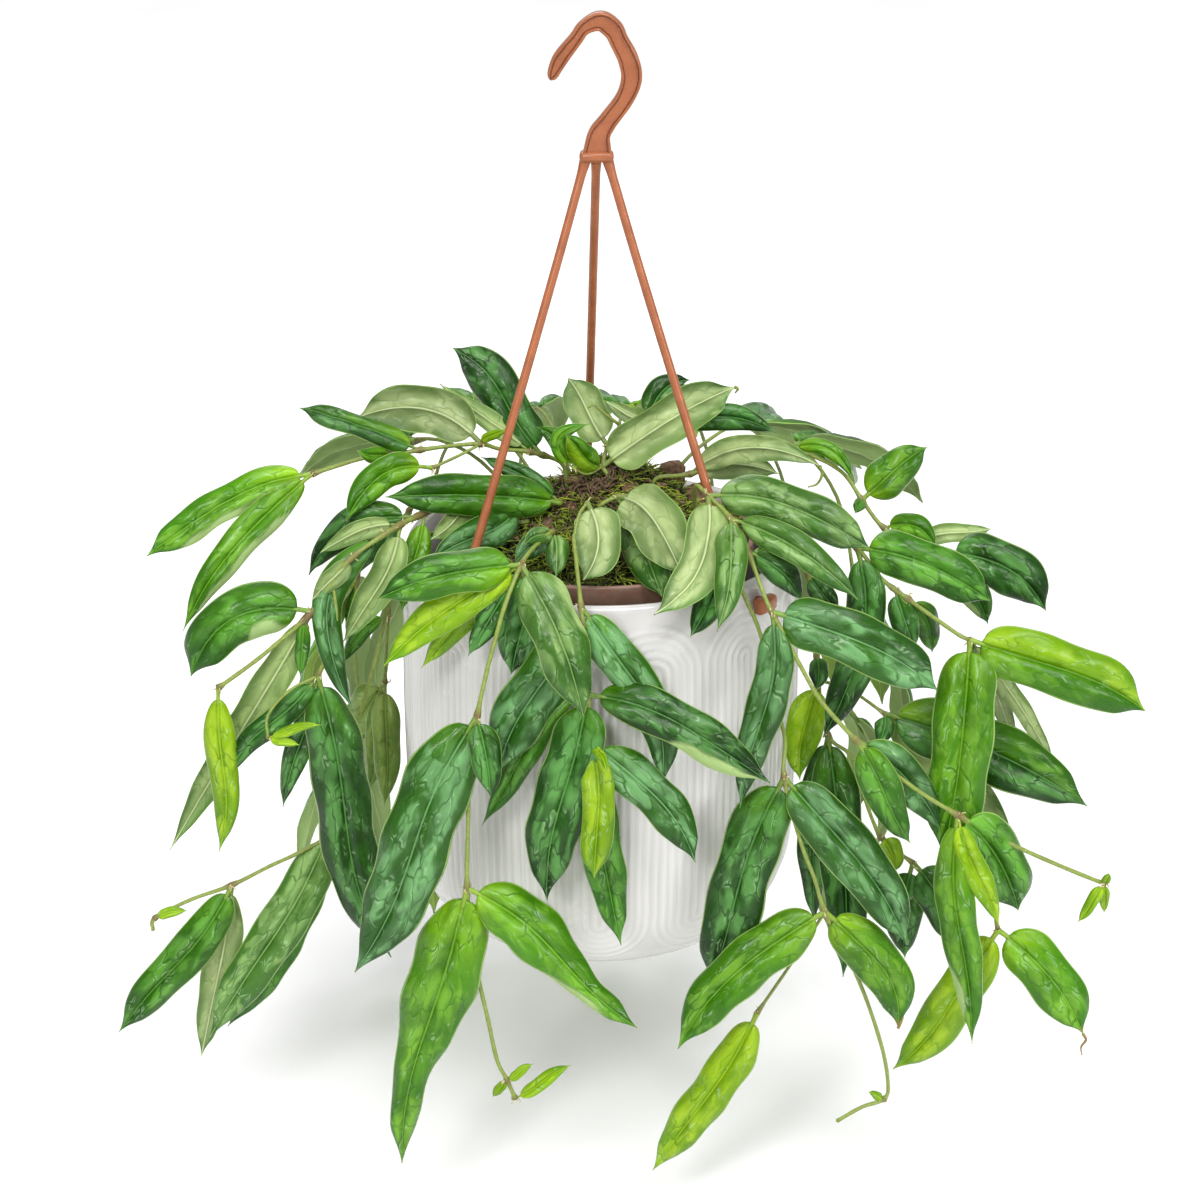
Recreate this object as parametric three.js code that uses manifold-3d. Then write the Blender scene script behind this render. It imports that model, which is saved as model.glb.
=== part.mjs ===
// A hanging potted hoya: glazed cachepot, plastic nursery pot, mossy potting mix,
// one-piece plastic hanger, and the plant's trailing leafy stems.
// Millimetres, +Z up, front towards -Y. The origin is the inner top of the hook,
// where it bears on whatever holds the plant up.
import * as THREE from "three";
import { mergeVertices } from "three/addons/utils/BufferGeometryUtils.js";
import Module from "manifold-3d";

const wasm = await Module();
wasm.setup();

// Driving dimensions
const GAP = 0.3;

const POT_RIM_Z = -201.5;
const POT_HEIGHT = 166.5;
const POT_RIM_RADIUS = 78.5;
const POT_BELLY = 1.4;
const POT_CORNER_RADIUS = 79.5;
const POT_CORNER_HEIGHT = 42;
const POT_FOOT_RADIUS = 47;
const POT_WALL = 4.5;
const POT_FLOOR = 6.5;
const POT_SEGMENTS = 60;
const POT_ROWS = [0, 3, 9, 20, 42, 95, 137.5, 144.5, 151.5, 158.5];
const RIM_HOLE_SIDES = 10;

const RELIEF_DEPTH = 1;
const RELIEF_COLUMNS = 12;
const RELIEF_TURN = 14.5;
const RELIEF_TOP_MARGIN = 8;
const RELIEF_FOOT_MARGIN = 10;

const NURSERY_RIM_Z = -199.5;
const NURSERY_RIM_RADIUS = 62;
const NURSERY_RIM_HEIGHT = 9;
const NURSERY_BODY_RADIUS = 59;
const NURSERY_BASE_RADIUS = 43;
const NURSERY_WALL = 2;
const NURSERY_SEGMENTS = 24;
const DRAIN_HOLES = 4;
const DRAIN_RADIUS = 4;
const DRAIN_SIDES = 8;

const SOIL_EDGE_DROP = 5;
const SOIL_CROWN = 14;
const SOIL_HUMP = 16;
const SOIL_HUMP_PLACE = [8, 24];
const SOIL_HUMP_SPREAD = 21;
const SOIL_LUMP = 0.8;
const SOIL_CLEARANCE = 0.5;
const SOIL_RINGS = [1, 0.84, 0.66, 0.46, 0.24];
const STEM_HOLE_DEPTH = 8;
const STEM_HOLE_CLEARANCE = 0.45;
const STEM_HOLE_SIDES = 6;

const HOOK_THICKNESS = 7;
const HOOK_WEB_THICKNESS = 4.6;
const HOOK_BEAD = 1.6;
const HOOK_WEB_INSET = 0.4;
const FLANGE = { left: -8.3, right: 4.9, top: -45, bottom: -49, deep: 8 };
const ROD_RADIUS = 1.75;
const ROD_SAG = 1.5;
const ROD_SINK = 2;
const ROD_FOOT_Z = -210;
const ROD_FOOT_RADIUS = 71;
const ROD_STARTS = [-5.6, -1.8, 2.1];
const ROD_TURNS = [-50, 185, 50];
const NECK_RADIUS = 2.5;
const NECK_SIDES = 8;
const NECK_SINK = 1;
const HEAD = { inner: 80.6, outer: 85.2, wide: 11, high: 6.4 };

const STEM_SIDES = 4;
const STEM_UPRIGHT = 3;
const LEAF_THICKNESS = 1.2;
const PETIOLE_LENGTH = 5;
const PETIOLE_HALF_WIDTH = 1;
const PETIOLE_THICKNESS = 1.8;
const PETIOLE_ROOT = 0.4;
const PETIOLE_SHARE = 0.12;
const BLADE_DROOP = 0.16;
const BLADE_STEP = 0.02;

// The stems are laid out as they show from the front: a place is [across, down, near],
// across and down in pixels of a 1200-pixel picture of the plant, near in millimetres
// from the pot's axis towards the viewer.
const VIEW = { across: 601, down: 600, lens: 2440, away: 1000, level: -229.8, pitch: 22 };

const MATERIALS = {
  ceramic: new THREE.MeshStandardMaterial({ color: 0xe9e7e4, roughness: 0.22, metalness: 0 }),
  taupe_plastic: new THREE.MeshStandardMaterial({ color: 0x6f5547, roughness: 0.5, metalness: 0 }),
  hanger_plastic: new THREE.MeshStandardMaterial({ color: 0xa8593a, roughness: 0.45, metalness: 0 }),
  soil: new THREE.MeshStandardMaterial({ color: 0x4b4a1e, roughness: 0.95, metalness: 0 }),
  leaf: new THREE.MeshStandardMaterial({ color: 0x3f8f2b, roughness: 0.35, metalness: 0 }),
};

const radians = THREE.MathUtils.degToRad;

// A closed three.js geometry as a solid
function solid(geometry) {
  const bare = geometry.index ? geometry.toNonIndexed() : geometry.clone();
  bare.deleteAttribute("normal");
  bare.deleteAttribute("uv");
  const merged = mergeVertices(bare, 1e-3);
  const corners = merged.index.array;
  const kept = [];
  for (let i = 0; i < corners.length; i += 3) {
    const [a, b, c] = [corners[i], corners[i + 1], corners[i + 2]];
    if (a !== b && b !== c && c !== a) kept.push(a, b, c);
  }
  const mesh = new wasm.Mesh({
    numProp: 3,
    vertProperties: merged.attributes.position.array,
    triVerts: new Uint32Array(kept),
  });
  return new wasm.Manifold(mesh);
}

function joined(solids) {
  return solids.reduce((whole, next) => whole.add(next));
}

// A solid as a named mesh
function piece(name, made, material) {
  const { numProp, vertProperties, triVerts } = made.getMesh();
  const places = new Float32Array((vertProperties.length / numProp) * 3);
  for (let i = 0; i < places.length / 3; i += 1) {
    places.set(vertProperties.subarray(i * numProp, i * numProp + 3), i * 3);
  }
  const geometry = new THREE.BufferGeometry();
  geometry.setAttribute("position", new THREE.BufferAttribute(places, 3));
  geometry.setIndex(new THREE.BufferAttribute(triVerts, 1));
  geometry.computeVertexNormals();
  const mesh = new THREE.Mesh(geometry, material);
  mesh.name = name;
  return mesh;
}

// A turned shape about +Z from [radius, height] points
function turned(profile, segments) {
  const points = profile.map(([radius, height]) => new THREE.Vector2(radius, height));
  return new THREE.LatheGeometry(points, segments).rotateX(Math.PI / 2);
}

// A place at a turn from the front, positive to the right
function around(turn, radius, z) {
  const angle = radians(turn);
  return new THREE.Vector3(radius * Math.sin(angle), -radius * Math.cos(angle), z);
}

// Cachepot

function potRadius(height) {
  if (height < POT_CORNER_HEIGHT) {
    const rise = 1 - height / POT_CORNER_HEIGHT;
    return POT_FOOT_RADIUS + (POT_CORNER_RADIUS - POT_FOOT_RADIUS) * Math.sqrt(1 - rise * rise);
  }
  const up = (height - POT_CORNER_HEIGHT) / (POT_HEIGHT - POT_CORNER_HEIGHT);
  return POT_CORNER_RADIUS + (POT_RIM_RADIUS - POT_CORNER_RADIUS) * up + POT_BELLY * Math.sin(Math.PI * up);
}

// Concentric arches under the rim and concentric bows above the foot, half a column
// apart, that run into one another as upright ribs between
function reliefHeight(turn, height) {
  const column = 360 / RELIEF_COLUMNS;
  const half = (Math.PI * POT_RIM_RADIUS) / RELIEF_COLUMNS;
  const archLevel = POT_HEIGHT - RELIEF_TOP_MARGIN - half;
  const bowLevel = RELIEF_FOOT_MARGIN + half;
  const shift = height < bowLevel ? column / 2 : 0;
  const turns = (turn - RELIEF_TURN - shift) / column;
  const sideways = (turns - Math.round(turns)) * 2 * half;
  const past = Math.max(height - archLevel, bowLevel - height, 0);
  const distance = Math.hypot(sideways, past);
  if (distance > half) return 0;
  return RELIEF_DEPTH * (0.5 - 0.5 * Math.cos((2 * Math.PI * distance) / half));
}

function potProfile() {
  const base = POT_RIM_Z - POT_HEIGHT;
  const outside = POT_ROWS.map((height) => [potRadius(height), base + height]);
  const lip = [
    [POT_RIM_RADIUS - 0.8, POT_RIM_Z],
    [POT_RIM_RADIUS - POT_WALL + 0.8, POT_RIM_Z],
  ];
  const inside = [60, 22].map((height) => [potRadius(height) - POT_WALL, base + height]);
  const floor = base + POT_FLOOR;
  return [[0, base], ...outside, ...lip, ...inside, [POT_FOOT_RADIUS, floor], [0, floor]];
}

function rimHole(turn) {
  const radius = NECK_RADIUS + GAP;
  const hole = new THREE.CylinderGeometry(radius, radius, 4 * POT_WALL, RIM_HOLE_SIDES);
  hole.rotateZ(Math.PI / 2);
  hole.rotateZ(radians(turn - 90));
  const middle = around(turn, POT_RIM_RADIUS, ROD_FOOT_Z);
  hole.translate(middle.x, middle.y, middle.z);
  return solid(hole);
}

// The turned pot with its outer wall pushed out along the ribs
function cachepot() {
  const wall = turned(potProfile(), POT_SEGMENTS);
  const places = wall.attributes.position;
  const base = POT_RIM_Z - POT_HEIGHT;
  const point = new THREE.Vector3();
  for (let i = 0; i < places.count; i += 1) {
    point.fromBufferAttribute(places, i);
    const height = point.z - base;
    const radius = Math.hypot(point.x, point.y);
    const onOutside = radius > potRadius(height) - 0.1 && height > 1 && height < POT_HEIGHT - 1;
    if (!onOutside) continue;
    const turn = THREE.MathUtils.radToDeg(Math.atan2(point.x, -point.y));
    const grown = (radius + reliefHeight(turn, height)) / radius;
    places.setXY(i, point.x * grown, point.y * grown);
  }
  const holes = joined(ROD_TURNS.map(rimHole));
  return piece("cachepot", solid(wall).subtract(holes), MATERIALS.ceramic);
}

// Nursery pot

const NURSERY_BASE_Z = POT_RIM_Z - POT_HEIGHT + POT_FLOOR + GAP;

function nurseryRadius(z) {
  const top = NURSERY_RIM_Z - NURSERY_RIM_HEIGHT;
  const up = (z - NURSERY_BASE_Z) / (top - NURSERY_BASE_Z);
  return NURSERY_BASE_RADIUS + (NURSERY_BODY_RADIUS - NURSERY_BASE_RADIUS) * up;
}

function nurseryPot() {
  const skirt = NURSERY_RIM_Z - NURSERY_RIM_HEIGHT;
  const floor = NURSERY_BASE_Z + NURSERY_WALL;
  const wall = turned(
    [
      [0, NURSERY_BASE_Z],
      [NURSERY_BASE_RADIUS, NURSERY_BASE_Z],
      [NURSERY_BODY_RADIUS, skirt],
      [NURSERY_RIM_RADIUS, skirt],
      [NURSERY_RIM_RADIUS, NURSERY_RIM_Z],
      [NURSERY_RIM_RADIUS - NURSERY_WALL, NURSERY_RIM_Z],
      [NURSERY_BODY_RADIUS - NURSERY_WALL, skirt - 1],
      [nurseryRadius(floor) - NURSERY_WALL, floor],
      [0, floor],
    ],
    NURSERY_SEGMENTS,
  );
  const drains = [];
  for (let i = 0; i < DRAIN_HOLES; i += 1) {
    const drain = new THREE.CylinderGeometry(DRAIN_RADIUS, DRAIN_RADIUS, 6 * NURSERY_WALL, DRAIN_SIDES);
    const place = around((360 * i) / DRAIN_HOLES, NURSERY_BASE_RADIUS * 0.6, NURSERY_BASE_Z);
    drain.rotateX(Math.PI / 2).translate(place.x, place.y, place.z);
    drains.push(solid(drain));
  }
  return piece("nursery_pot", solid(wall).subtract(joined(drains)), MATERIALS.taupe_plastic);
}

// Potting mix and moss

// Height of the mossy surface: low at the pot's wall, with a hump behind the middle
function soilTop(x, y) {
  const reach = Math.min(1, Math.hypot(x, y) / (NURSERY_BODY_RADIUS - NURSERY_WALL));
  const [humpX, humpY] = SOIL_HUMP_PLACE;
  const away = Math.hypot(x - humpX, y - humpY) / SOIL_HUMP_SPREAD;
  const level = NURSERY_RIM_Z - SOIL_EDGE_DROP + SOIL_CROWN * (1 - reach * reach);
  const hump = SOIL_HUMP * Math.exp(-0.5 * away * away) * (1 - reach ** 4);
  return level + hump + SOIL_LUMP * Math.sin(x * 0.45) * Math.cos(y * 0.38);
}

function pottingMix(roots) {
  const bottom = NURSERY_BASE_Z + NURSERY_WALL + GAP;
  const skirt = NURSERY_RIM_Z - NURSERY_RIM_HEIGHT - 1;
  const edge = NURSERY_BODY_RADIUS - NURSERY_WALL - SOIL_CLEARANCE;
  const base = nurseryRadius(bottom) - NURSERY_WALL - SOIL_CLEARANCE;
  const surface = SOIL_RINGS.map((share) => [edge * share, 0]);
  const heap = turned([[0, bottom], [base, bottom], [edge, skirt], ...surface, [0, 0]], NURSERY_SEGMENTS);
  const places = heap.attributes.position;
  for (let i = 0; i < places.count; i += 1) {
    if (Math.abs(places.getZ(i)) < 0.01) places.setZ(i, soilTop(places.getX(i), places.getY(i)));
  }
  let mix = solid(heap);
  for (const [x, y, thick] of roots) {
    const wide = thick + STEM_HOLE_CLEARANCE;
    const hole = new THREE.CylinderGeometry(wide, wide, 2 * STEM_HOLE_DEPTH, STEM_HOLE_SIDES);
    hole.rotateX(Math.PI / 2).translate(x, y, soilTop(x, y));
    mix = mix.subtract(solid(hole));
  }
  return piece("potting_mix", mix, MATERIALS.soil);
}

// Hanger

// Middle line of the hook from its tip to the flange: [x, z, half width]
const HOOK_LINE = [
  [-18.4, -17.4, 1.7],
  [-15.6, -10.6, 2.9],
  [-9.6, -2.9, 2.6],
  [-6.2, 1.5, 2.7],
  [-0.4, 3.8, 3.6],
  [4.4, 0.8, 3.8],
  [6.8, -3.7, 3.6],
  [10.2, -10.4, 3.9],
  [11.5, -17.5, 4],
  [8.8, -25.2, 3.5],
  [2.4, -33.9, 3.6],
  [-0.7, -39, 4.4],
  [-1.5, -46, 5.6],
];

// The hook's outline, drawn in by an inset
function hookOutline(inset) {
  const line = HOOK_LINE.map(([x, z]) => new THREE.Vector2(x, z));
  const left = [];
  const right = [];
  line.forEach((place, i) => {
    const before = line[Math.max(0, i - 1)];
    const after = line[Math.min(line.length - 1, i + 1)];
    const along = after.clone().sub(before).normalize();
    const half = HOOK_LINE[i][2] - inset;
    const shift = i === 0 ? inset : 0;
    const middle = place.clone().addScaledVector(along, shift);
    left.push(new THREE.Vector2(middle.x - along.y * half, middle.y + along.x * half));
    right.unshift(new THREE.Vector2(middle.x + along.y * half, middle.y - along.x * half));
  });
  return new THREE.Shape([...left, ...right]);
}

// A flat shape drawn in X and Z, given a thickness about the middle plane
function plate(shape, thickness) {
  const made = new THREE.ExtrudeGeometry(shape, { depth: thickness, bevelEnabled: false });
  return solid(made.translate(0, 0, -thickness / 2).rotateX(Math.PI / 2));
}

// One rod with the neck and toggle that clip it into the pot's wall
function rod(start, turn) {
  const foot = around(turn, ROD_FOOT_RADIUS, ROD_FOOT_Z);
  const head = new THREE.Vector3(start, 0, FLANGE.bottom + ROD_SINK);
  const bow = head.clone().lerp(foot, 0.3);
  bow.z -= ROD_SAG;
  const line = new THREE.CatmullRomCurve3([head, bow, foot]);
  const round = new THREE.Shape().absarc(0, 0, ROD_RADIUS, 0, 2 * Math.PI);
  const shaft = new THREE.ExtrudeGeometry(round, { steps: 5, extrudePath: line, curveSegments: 4 });
  const neckLength = HEAD.inner - ROD_FOOT_RADIUS + 2 * NECK_SINK;
  const neck = new THREE.CylinderGeometry(NECK_RADIUS, NECK_RADIUS, neckLength, NECK_SIDES);
  neck.rotateZ(Math.PI / 2).rotateZ(radians(turn - 90));
  const neckPlace = around(turn, (HEAD.inner + ROD_FOOT_RADIUS) / 2, ROD_FOOT_Z);
  neck.translate(neckPlace.x, neckPlace.y, neckPlace.z);
  const toggle = new THREE.BoxGeometry(HEAD.outer - HEAD.inner, HEAD.wide, HEAD.high);
  toggle.rotateZ(radians(turn - 90));
  const togglePlace = around(turn, (HEAD.inner + HEAD.outer) / 2, ROD_FOOT_Z);
  toggle.translate(togglePlace.x, togglePlace.y, togglePlace.z);
  return joined([shaft, neck, toggle].map(solid));
}

// Hook with a raised bead round a thinner web, flange and rods, moulded in one
function hanger() {
  const inner = plate(hookOutline(HOOK_BEAD), HOOK_THICKNESS + 2);
  const bead = plate(hookOutline(0), HOOK_THICKNESS).subtract(inner);
  const web = plate(hookOutline(HOOK_WEB_INSET), HOOK_WEB_THICKNESS);
  const wide = FLANGE.right - FLANGE.left;
  const flange = new THREE.BoxGeometry(wide, FLANGE.deep, FLANGE.top - FLANGE.bottom);
  flange.translate(FLANGE.left + wide / 2, 0, (FLANGE.top + FLANGE.bottom) / 2);
  const rods = ROD_STARTS.map((start, i) => rod(start, ROD_TURNS[i]));
  return piece("hanger", joined([bead, web, solid(flange), ...rods]), MATERIALS.hanger_plastic);
}

// Leafy stems

const DIP = Math.sin(radians(VIEW.pitch));
const REACH = Math.cos(radians(VIEW.pitch));
const EYE = new THREE.Vector3(0, -VIEW.away * REACH, VIEW.level + VIEW.away * DIP);

// The place that shows at [across, down, near]
function seen([across, down, near]) {
  const rise = VIEW.down - down;
  const ray = new THREE.Vector3(
    across - VIEW.across,
    REACH * VIEW.lens + DIP * rise,
    REACH * rise - DIP * VIEW.lens,
  );
  return EYE.clone().addScaledVector(ray, (-near - EYE.y) / ray.y);
}

function viewerFrom(place) {
  return EYE.clone().sub(place).normalize();
}

// A leaf blade on its stalk: six corners at each station, top left to right and back
// below, from a root inside the stem to a pointed tip
function blade({ base, tip, facing, width, side, arch, roll, under, stations }) {
  const along = tip.clone().sub(base);
  const length = along.length();
  along.normalize();
  const across = facing.clone().cross(along).normalize();
  const out = along.clone().cross(across);
  const lean = radians(roll);
  const up = out.clone().multiplyScalar(Math.cos(lean)).addScaledVector(across, -Math.sin(lean));
  const top = under ? -1 : 1;
  const line = (t) => {
    const bow = 4 * t * (1 - t);
    return base.clone().addScaledVector(along, length * t).addScaledVector(across, side * bow)
      .addScaledVector(out, arch * bow);
  };
  const stalk = Math.min(PETIOLE_SHARE, PETIOLE_LENGTH / length);
  const rings = [
    [stalk, PETIOLE_HALF_WIDTH, PETIOLE_THICKNESS, 0],
    ...stations.map(([t, share]) => [t, (share * width) / 2, LEAF_THICKNESS, 1]),
  ];
  const places = [];
  for (const [t, half, thick, full] of rings) {
    const middle = line(t);
    const ahead = line(t + BLADE_STEP).sub(line(t - BLADE_STEP)).normalize();
    const wide = up.clone().cross(ahead).normalize();
    const lift = ahead.clone().cross(wide).multiplyScalar(top);
    const droop = full * half * BLADE_DROOP;
    const corner = (sideways, raised) =>
      places.push(...middle.clone().addScaledVector(wide, sideways).addScaledVector(lift, raised).toArray());
    const [over, below] = [thick / 2, -thick / 2];
    const rows = top > 0 ? [over, below] : [below, over];
    corner(half, rows[0] - droop);
    corner(0, rows[0]);
    corner(-half, rows[0] - droop);
    corner(-half, rows[1] - droop);
    corner(0, rows[1]);
    corner(half, rows[1] - droop);
  }
  const root = base.clone().addScaledVector(along, -PETIOLE_ROOT);
  places.push(...tip.toArray(), ...root.toArray());
  const last = rings.length * 6;
  const faces = [];
  for (let i = 0; i < rings.length; i += 1) {
    for (let k = 0; k < 6; k += 1) {
      const a = 6 * i + k;
      const b = 6 * i + ((k + 1) % 6);
      if (i === 0) faces.push(b, a, last + 1);
      if (i === rings.length - 1) {
        faces.push(a, b, last);
      } else if (k === 1 || k === 4) {
        faces.push(a, b, a + 6, b, b + 6, a + 6);
      } else {
        faces.push(a, b, b + 6, a, b + 6, a + 6);
      }
    }
  }
  const geometry = new THREE.BufferGeometry();
  geometry.setAttribute("position", new THREE.BufferAttribute(new Float32Array(places), 3));
  geometry.setIndex(faces);
  return geometry;
}

// Stations of a leaf: [share of its length, share of its width]. A leaf row may end with
// the name of another outline than the usual long one.
const BROAD = [[0.17, 0.9], [0.5, 1], [0.8, 0.76]];
const SMALL = [[0.25, 0.95], [0.71, 0.86]];
const BROAD_FROM = 18;
const OUTLINES = {
  blunt: [[0.13, 0.86], [0.5, 1], [0.87, 0.8]],
  drawn: [[0.24, 1], [0.58, 0.66], [0.82, 0.42]],
};

// A slim stem through its places, with a flat end at each
function stemTube(line, thick) {
  const places = [];
  const faces = [];
  const side = new THREE.Vector3(1, 0, 0);
  line.forEach((place, i) => {
    const before = line[Math.max(0, i - 1)];
    const after = line[Math.min(line.length - 1, i + 1)];
    const along = after.clone().sub(before).normalize();
    side.addScaledVector(along, -side.dot(along)).normalize();
    const cross = along.clone().cross(side);
    for (let k = 0; k < STEM_SIDES; k += 1) {
      const angle = (2 * Math.PI * k) / STEM_SIDES;
      const corner = place.clone().addScaledVector(side, thick * Math.cos(angle));
      places.push(...corner.addScaledVector(cross, thick * Math.sin(angle)).toArray());
    }
  });
  const last = STEM_SIDES * (line.length - 1);
  for (let k = 1; k < STEM_SIDES - 1; k += 1) faces.push(0, k + 1, k, last, last + k, last + k + 1);
  for (let i = 0; i < last; i += STEM_SIDES) {
    for (let k = 0; k < STEM_SIDES; k += 1) {
      const a = i + k;
      const b = i + ((k + 1) % STEM_SIDES);
      faces.push(a, b, b + STEM_SIDES, a, b + STEM_SIDES, a + STEM_SIDES);
    }
  }
  const geometry = new THREE.BufferGeometry();
  geometry.setAttribute("position", new THREE.BufferAttribute(new Float32Array(places), 3));
  geometry.setIndex(faces);
  return geometry;
}

// A place part of the way along a line of places, counted in places
function placeAlong(line, at) {
  const i = Math.min(Math.floor(at), line.length - 2);
  return line[i].clone().lerp(line[i + 1], at - i);
}

// The upright foot of a stem, from near the floor of its hole to just above the moss
function rootPlaces([x, y]) {
  const surface = soilTop(x, y);
  return [surface - STEM_HOLE_DEPTH + GAP, surface + STEM_UPRIGHT].map((z) => new THREE.Vector3(x, y, z));
}

// One length of stem with its leaves. A leaf row: place along the run, tip, width,
// side bow, arch, roll, look, and an outline where it isn't the long one.
function shoot({ thick, root, run, leaves }) {
  const places = run.map(seen);
  const all = root ? [...rootPlaces(root), ...places] : places;
  const made = [solid(stemTube(all, thick))];
  for (const [at, tipPlace, width, side, arch, roll, look, outline] of leaves) {
    const base = placeAlong(places, at);
    const tip = seen(tipPlace);
    const facing = viewerFrom(base.clone().lerp(tip, 0.5));
    const stations = OUTLINES[outline] ?? (width > BROAD_FROM ? BROAD : SMALL);
    const under = look === "pale";
    made.push(solid(blade({ base, tip, facing, width, side, arch, roll, under, stations })));
  }
  return joined(made);
}

// A stem with its side shoots as one solid
function leafyStem(name, shoots) {
  return piece(name, joined(shoots.map(shoot)), MATERIALS.leaf);
}

const LEFT_TOP = [
  {
    thick: 1.5,
    root: [-14, 10],
    run: [[560, 462, -10], [530, 452, -5], [500, 449, 0], [481, 444, 4], [450, 446, 8], [420, 450, 10],
      [390, 455, 12], [360, 459, 14], [312, 474, 16]],
    leaves: [
      [8, [147, 556, 30], 14, -5, 3, 15, "bright"],
      [8, [183, 631, 44], 13.5, -5, 5, 0, "bright"],
      [3, [357, 418, -4], 19, -9, 0, 0, "pale"],
      [5, [300, 408, 8], 10, -1, 2, 25, "deep"],
      [6, [357, 450, 22], 6.5, 1, 1, 0, "bright"],
      [3, [507, 430, 8], 4, 1, 1, 0, "lime"],
      [0.6, [453, 348, -24], 18, -3, 2, 0, "deep"],
      [1, [440, 384, -14], 9, 0, 1, 20, "pale"],
    ],
  },
  {
    thick: 1.1,
    run: [[481, 444, 4], [460, 455, 10], [432, 468, 18]],
    leaves: [[2, [346, 522, 36], 13, -8, 2, 0, "bright"]],
  },
];

const LEFT_LONG = [
  {
    thick: 1.5,
    root: [-24, -4],
    run: [[560, 503, 8], [520, 505, 12], [480, 506, 14], [440, 508, 20], [400, 525, 38], [355, 555, 52],
      [333, 580, 55], [312, 612, 57], [275, 645, 62], [250, 665, 64], [218, 688, 66]],
    leaves: [
      [0, [385, 497, 30], 17, -2, 6, 0, "mid"],
      [0, [481, 457, -2], 8, -2, 1, 0, "deep"],
      [1, [430, 560, 48], 14.5, 2, 2, 0, "teal"],
      [2.2, [430, 540, 38], 9, 0, 2, 0, "pale"],
      [3.4, [402, 612, 44], 10, 0, 2, 0, "bright"],
      [3.6, [309, 575, 30], 15, -9, 3, 10, "deep"],
      [4, [320, 553, 40], 8, -3, 1, 0, "pale"],
      [4, [343, 642, 54], 13, 3, 2, 0, "pale"],
      [4.3, [354, 711, 68], 12, -17, 3, 0, "teal"],
      [5.1, [312, 600, 56], 8, 0, 1, 0, "pale"],
      [7, [191, 676, 62], 20.5, -12, 4, 0, "deep", "blunt"],
      [7, [170, 850, 58], 14, 0, 2, 0, "pale"],
      [7.2, [300, 676, 60], 6, 0, 1, 0, "mid"],
      [10, [219, 852, 76], 12, 2, 2, 0, "lime"],
    ],
  },
  {
    thick: 1.2,
    run: [[333, 580, 55], [336, 630, 60], [318, 676, 64]],
    leaves: [
      [2, [391, 957, 68], 22, -4, 4, 0, "deep"],
      [2, [227, 780, 70], 10.5, -2, 2, 0, "deep"],
      [2, [283, 807, 58], 10.5, 0, 2, 0, "deep"],
    ],
  },
  {
    thick: 1,
    run: [[318, 676, 64], [290, 690, 70], [268, 715, 72], [268, 738, 72]],
    leaves: [
      [3, [321, 725, 76], 4, 1, 1, 0, "lime"],
      [3, [299, 745, 74], 4, 0, 1, 0, "lime"],
    ],
  },
];

const LEFT_LOW = [
  {
    thick: 1.4,
    root: [-30, -13],
    run: [[525, 522, 14], [485, 527, 12], [450, 530, 14], [415, 540, 20], [396, 562, 27], [388, 600, 34],
      [378, 650, 38], [358, 720, 42], [335, 790, 47], [328, 833, 50], [300, 852, 54], [270, 866, 56],
      [232, 885, 58], [190, 900, 60], [155, 918, 62], [153, 930, 62]],
    leaves: [
      [9, [209, 1038, 64], 19, 2, 3, 0, "deep"],
      [9, [228, 1026, 48], 16, 4, 2, 0, "mid"],
      [12, [119, 1032, 66], 16.5, 2, 2, 0, "mid"],
      [12, [201, 1057, 50], 14, 1, 2, 0, "pale"],
      [14, [187, 911, 62], 4.5, 1, 1, 0, "lime"],
    ],
  },
];

const LEFT_BACK = [
  {
    thick: 1.4,
    root: [-40, 10],
    run: [[492, 492, -14], [450, 490, -17], [418, 500, -17], [400, 530, -16], [392, 570, -14],
      [388, 615, -12], [386, 655, -10], [385, 683, -8]],
    leaves: [
      [5, [343, 664, -2], 7, -3, 1, 0, "mid"],
      [7, [350, 735, -16], 17, 0, 2, 0, "mid"],
      [7, [368, 792, 2], 9, 0, 2, 0, "pale"],
      [7, [384, 806, 14], 12, 1, 2, 0, "mid"],
      [2.4, [340, 600, -10], 14, -6, 3, 0, "deep"],
    ],
  },
];

const FRONT_LEFT = [
  {
    thick: 1.5,
    root: [-16, -34],
    run: [[553, 532, 50], [536, 545, 62], [521, 565, 78], [505, 605, 88], [495, 640, 92], [487, 670, 95],
      [477, 716, 98], [470, 760, 101], [468, 820, 103], [467, 888, 104], [472, 940, 103], [480, 985, 102],
      [488, 1020, 101], [497, 1060, 100], [507, 1080, 100], [515, 1098, 100]],
    leaves: [
      [2, [377, 599, 92], 16.5, -3, 3, 0, "mid"],
      [0, [516, 562, 58], 10, -1, 1, 0, "teal"],
      [0, [524, 545, 66], 7, -1, 1, 0, "sage"],
      [0, [556, 577, 62], 9, 1, 1, 0, "sage"],
      [2, [383, 667, 82], 15, -3, 2, 0, "lime"],
      [2, [421, 668, 70], 11.5, -2, 1, 0, "lime"],
      [2, [468, 656, 80], 11, 0, 1, 0, "deep"],
      [2, [511, 674, 84], 18, 3, 2, 0, "deep"],
      [2, [583, 717, 104], 20, 3, 5, 0, "sage"],
      [6, [355, 972, 108], 26.5, 0, 5, 0, "teal"],
      [6, [490, 797, 110], 12, 1, 1, 0, "deep"],
      [9, [402, 1163, 112], 28, -3, 4, 0, "bright", "drawn"],
      [9, [637, 1028, 112], 22.5, 2, 4, 0, "bright", "drawn"],
      [14, [533, 1064, 100], 4, 0, 1, 0, "lime"],
      [15, [571, 1065, 102], 6, 0, 1, 0, "lime"],
      [14, [493, 1096, 100], 4, 0, 1, 0, "lime"],
    ],
  },
];

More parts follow.
